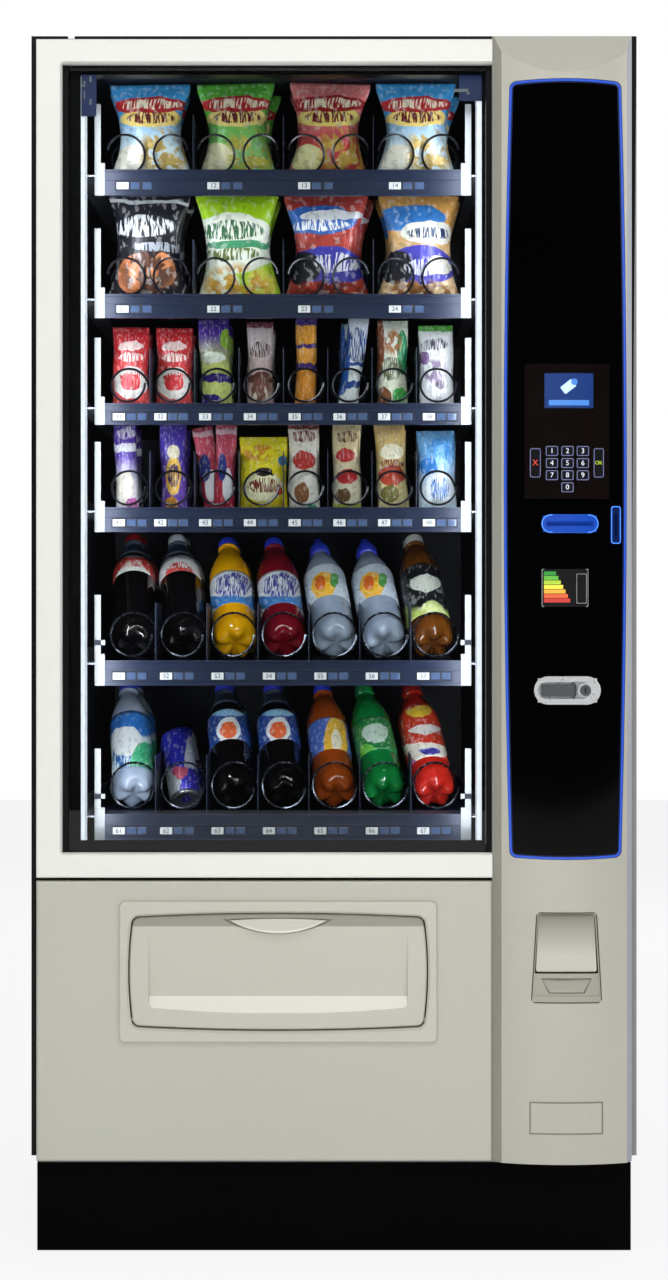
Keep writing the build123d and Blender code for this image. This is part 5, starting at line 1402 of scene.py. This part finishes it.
label_fruit = sleeve(
    "sleeve_fruit", "#c6d2de",
    rows("#2a5aa8", 0.5, 0.3, 0.34, 0.12), spot("#f0b628", 0.42, 0.62, 0.22, 0.2),
    spot("#e0671c", 0.36, 0.66, 0.1, 0.1), spot("#4f9a4a", 0.64, 0.7, 0.08, 0.1),
)
label_dark_lime = sleeve(
    "sleeve_dark_lime", "#15161a",
    band("#b9cc6a", 0.12, 0.3), spot("#e6e9dc", 0.5, 0.72, 0.28, 0.1), spot("#ccd68a", 0.6, 0.42, 0.2, 0.1),
)
label_sea = sleeve(
    "sleeve_sea", "#cfe3e6",
    rows("#1c5ca8", 0.44, 0.44, 0.3, 0.12), band("#2f74c4", 0.86, 0.2), spot("#eef3f4", 0.4, 0.62, 0.3, 0.16),
    spot("#3fae7c", 0.74, 0.34, 0.22, 0.26),
)
label_cobalt = sleeve(
    "sleeve_cobalt", "#17408e",
    band("#8ec4e6", 0.93, 0.09), spot("#e9ecef", 0.5, 0.62, 0.24, 0.2),
    spot("#e8632e", 0.5, 0.62, 0.17, 0.13), spot("#a9c0e2", 0.6, 0.22, 0.14, 0.06),
)
label_sun = sleeve(
    "sleeve_sun", "#4a6cc0",
    spot("#e8b432", 0.62, 0.55, 0.24, 0.42), spot("#f3ead0", 0.64, 0.6, 0.1, 0.16),
    band("#3a4aa8", 0.03, 0.1),
)
label_mint = sleeve(
    "sleeve_mint", "#16803e",
    spot("#c8dccc", 0.5, 0.7, 0.26, 0.14), spot("#6bc04a", 0.34, 0.4, 0.16, 0.14),
    spot("#e4efe2", 0.5, 0.3, 0.12, 0.16),
)
label_flame = sleeve(
    "sleeve_flame", "#cf3a22",
    rows("#3f3a9c", 0.5, 0.24, 0.34, 0.12), spot("#efe6d6", 0.5, 0.42, 0.42, 0.1),
    spot("#e8c23a", 0.4, 0.86, 0.24, 0.06), spot("#efe9e2", 0.5, 0.66, 0.3, 0.05),
    spot("#3f3a9c", 0.56, 0.42, 0.2, 0.04),
)
can_print = film(
    "can_print", "#c8ccd6", "#2a2fb4",
    spot("#c9ccd8", 0.78, 0.66, 0.2, 0.3), spot("#3a30b8", 0.72, 0.26, 0.2, 0.26),
    spot("#cf5a78", 0.5, 0.48, 0.16, 0.07), band("#dfe2e8", 0.04, 0.05), metallic=0.55, width=0.05,
)
bare_aluminium = coated("bare_aluminium", ("#a9adb2", "#c3c6ca", 12), (5, 0.05, (0.24, 0.34)), Metallic=0.9)
# tray, selection, body, cap, cap shape, sleeve, sleeve span, lean, roll, shift
BOTTLES = (
    (4, 0, cola, cap_red, CAP, label_red, (130, 166), 43, -5, 0),
    (4, 1, cola, cap_silver, CAP, label_white, (130, 168), 43, -8, 2),
    (4, 2, orange, cap_blue, CAP, label_violet, (62, 134), 45, -7, 2),
    (4, 3, cassis, cap_blue, CAP, label_violet, (62, 134), 45, -8, 2),
    (4, 4, spring_water, cap_blue, SPORT_CAP, label_fruit, (80, 156), 47, -10, 3),
    (4, 5, spring_water, cap_blue, SPORT_CAP, label_fruit, (80, 156), 47, -10, 2),
    (4, 6, amber_glass, cap_white, CAP, label_dark_lime, (40, 146), 43, -8, -2),
    (5, 0, spring_water, cap_blue, CAP, label_sea, (36, 150), 42, -8, 0),
    (5, 2, cola, cap_blue, CAP, label_cobalt, (92, 156), 43, -9, 2),
    (5, 3, cola, cap_blue, CAP, label_cobalt, (92, 156), 43, -9, 3),
    (5, 4, ice_tea, cap_blue, CAP, label_sun, (72, 138), 44, -8, 3),
    (5, 5, green_pet, cap_green, CAP, label_mint, (72, 140), 43, -11, 2),
    (5, 6, blood_orange, cap_red, CAP, label_flame, (56, 172), 43, -11, 2),
)
for tray_index, selection, wall, cap, cap_shape, print_label, span, lean, roll, shift in BOTTLES:
    tray = TRAYS[tray_index][0]
    x, floor_z = centre_of(tray_index, selection)
    for depth in range(2):
        place = (x + shift, BOTTLE_Y + BOTTLE_PITCH * depth, floor_z + 1)
        tag = f"{tray_index + 1}_{selection + 1}_{depth + 1}"
        body = lathe(f"bottle_{tag}", BOTTLE, wall, lobes=20)
        top_piece = lathe(f"cap_{tag}", cap_shape, cap, steps=48, ribs=0.5)
        wrap = lathe(f"sleeve_{tag}", ring_profile(BOTTLE, *span, 0.35), print_label, ends=False)
        pieces = [(body, 17 * selection + 40 * depth), (top_piece, 0.0), (wrap, 0.0)]
        if wall is cola:
            neck = lathe(f"neck_{tag}", ring_profile(BOTTLE, *NECK, 0.3), empty_neck, ends=False)
            pieces.append((neck, 0.0))
        for piece, spin in pieces:
            lay(piece, tray, place, lean, roll, BOTTLE_FOOT, spin, GROWTH[tray_index])
x, floor_z = centre_of(5, 1)
for depth in range(2):
    can = lathe(f"can_6_2_{depth + 1}", CAN, can_print, steps=48)
    end = lathe(f"can_end_{depth + 1}", CAN_END, bare_aluminium, steps=48)
    for piece in (can, end):
        lay(piece, "tray_6", (x + 4, CAN_Y + BOTTLE_PITCH * depth, floor_z + 1), 42, -14, CAN_FOOT)
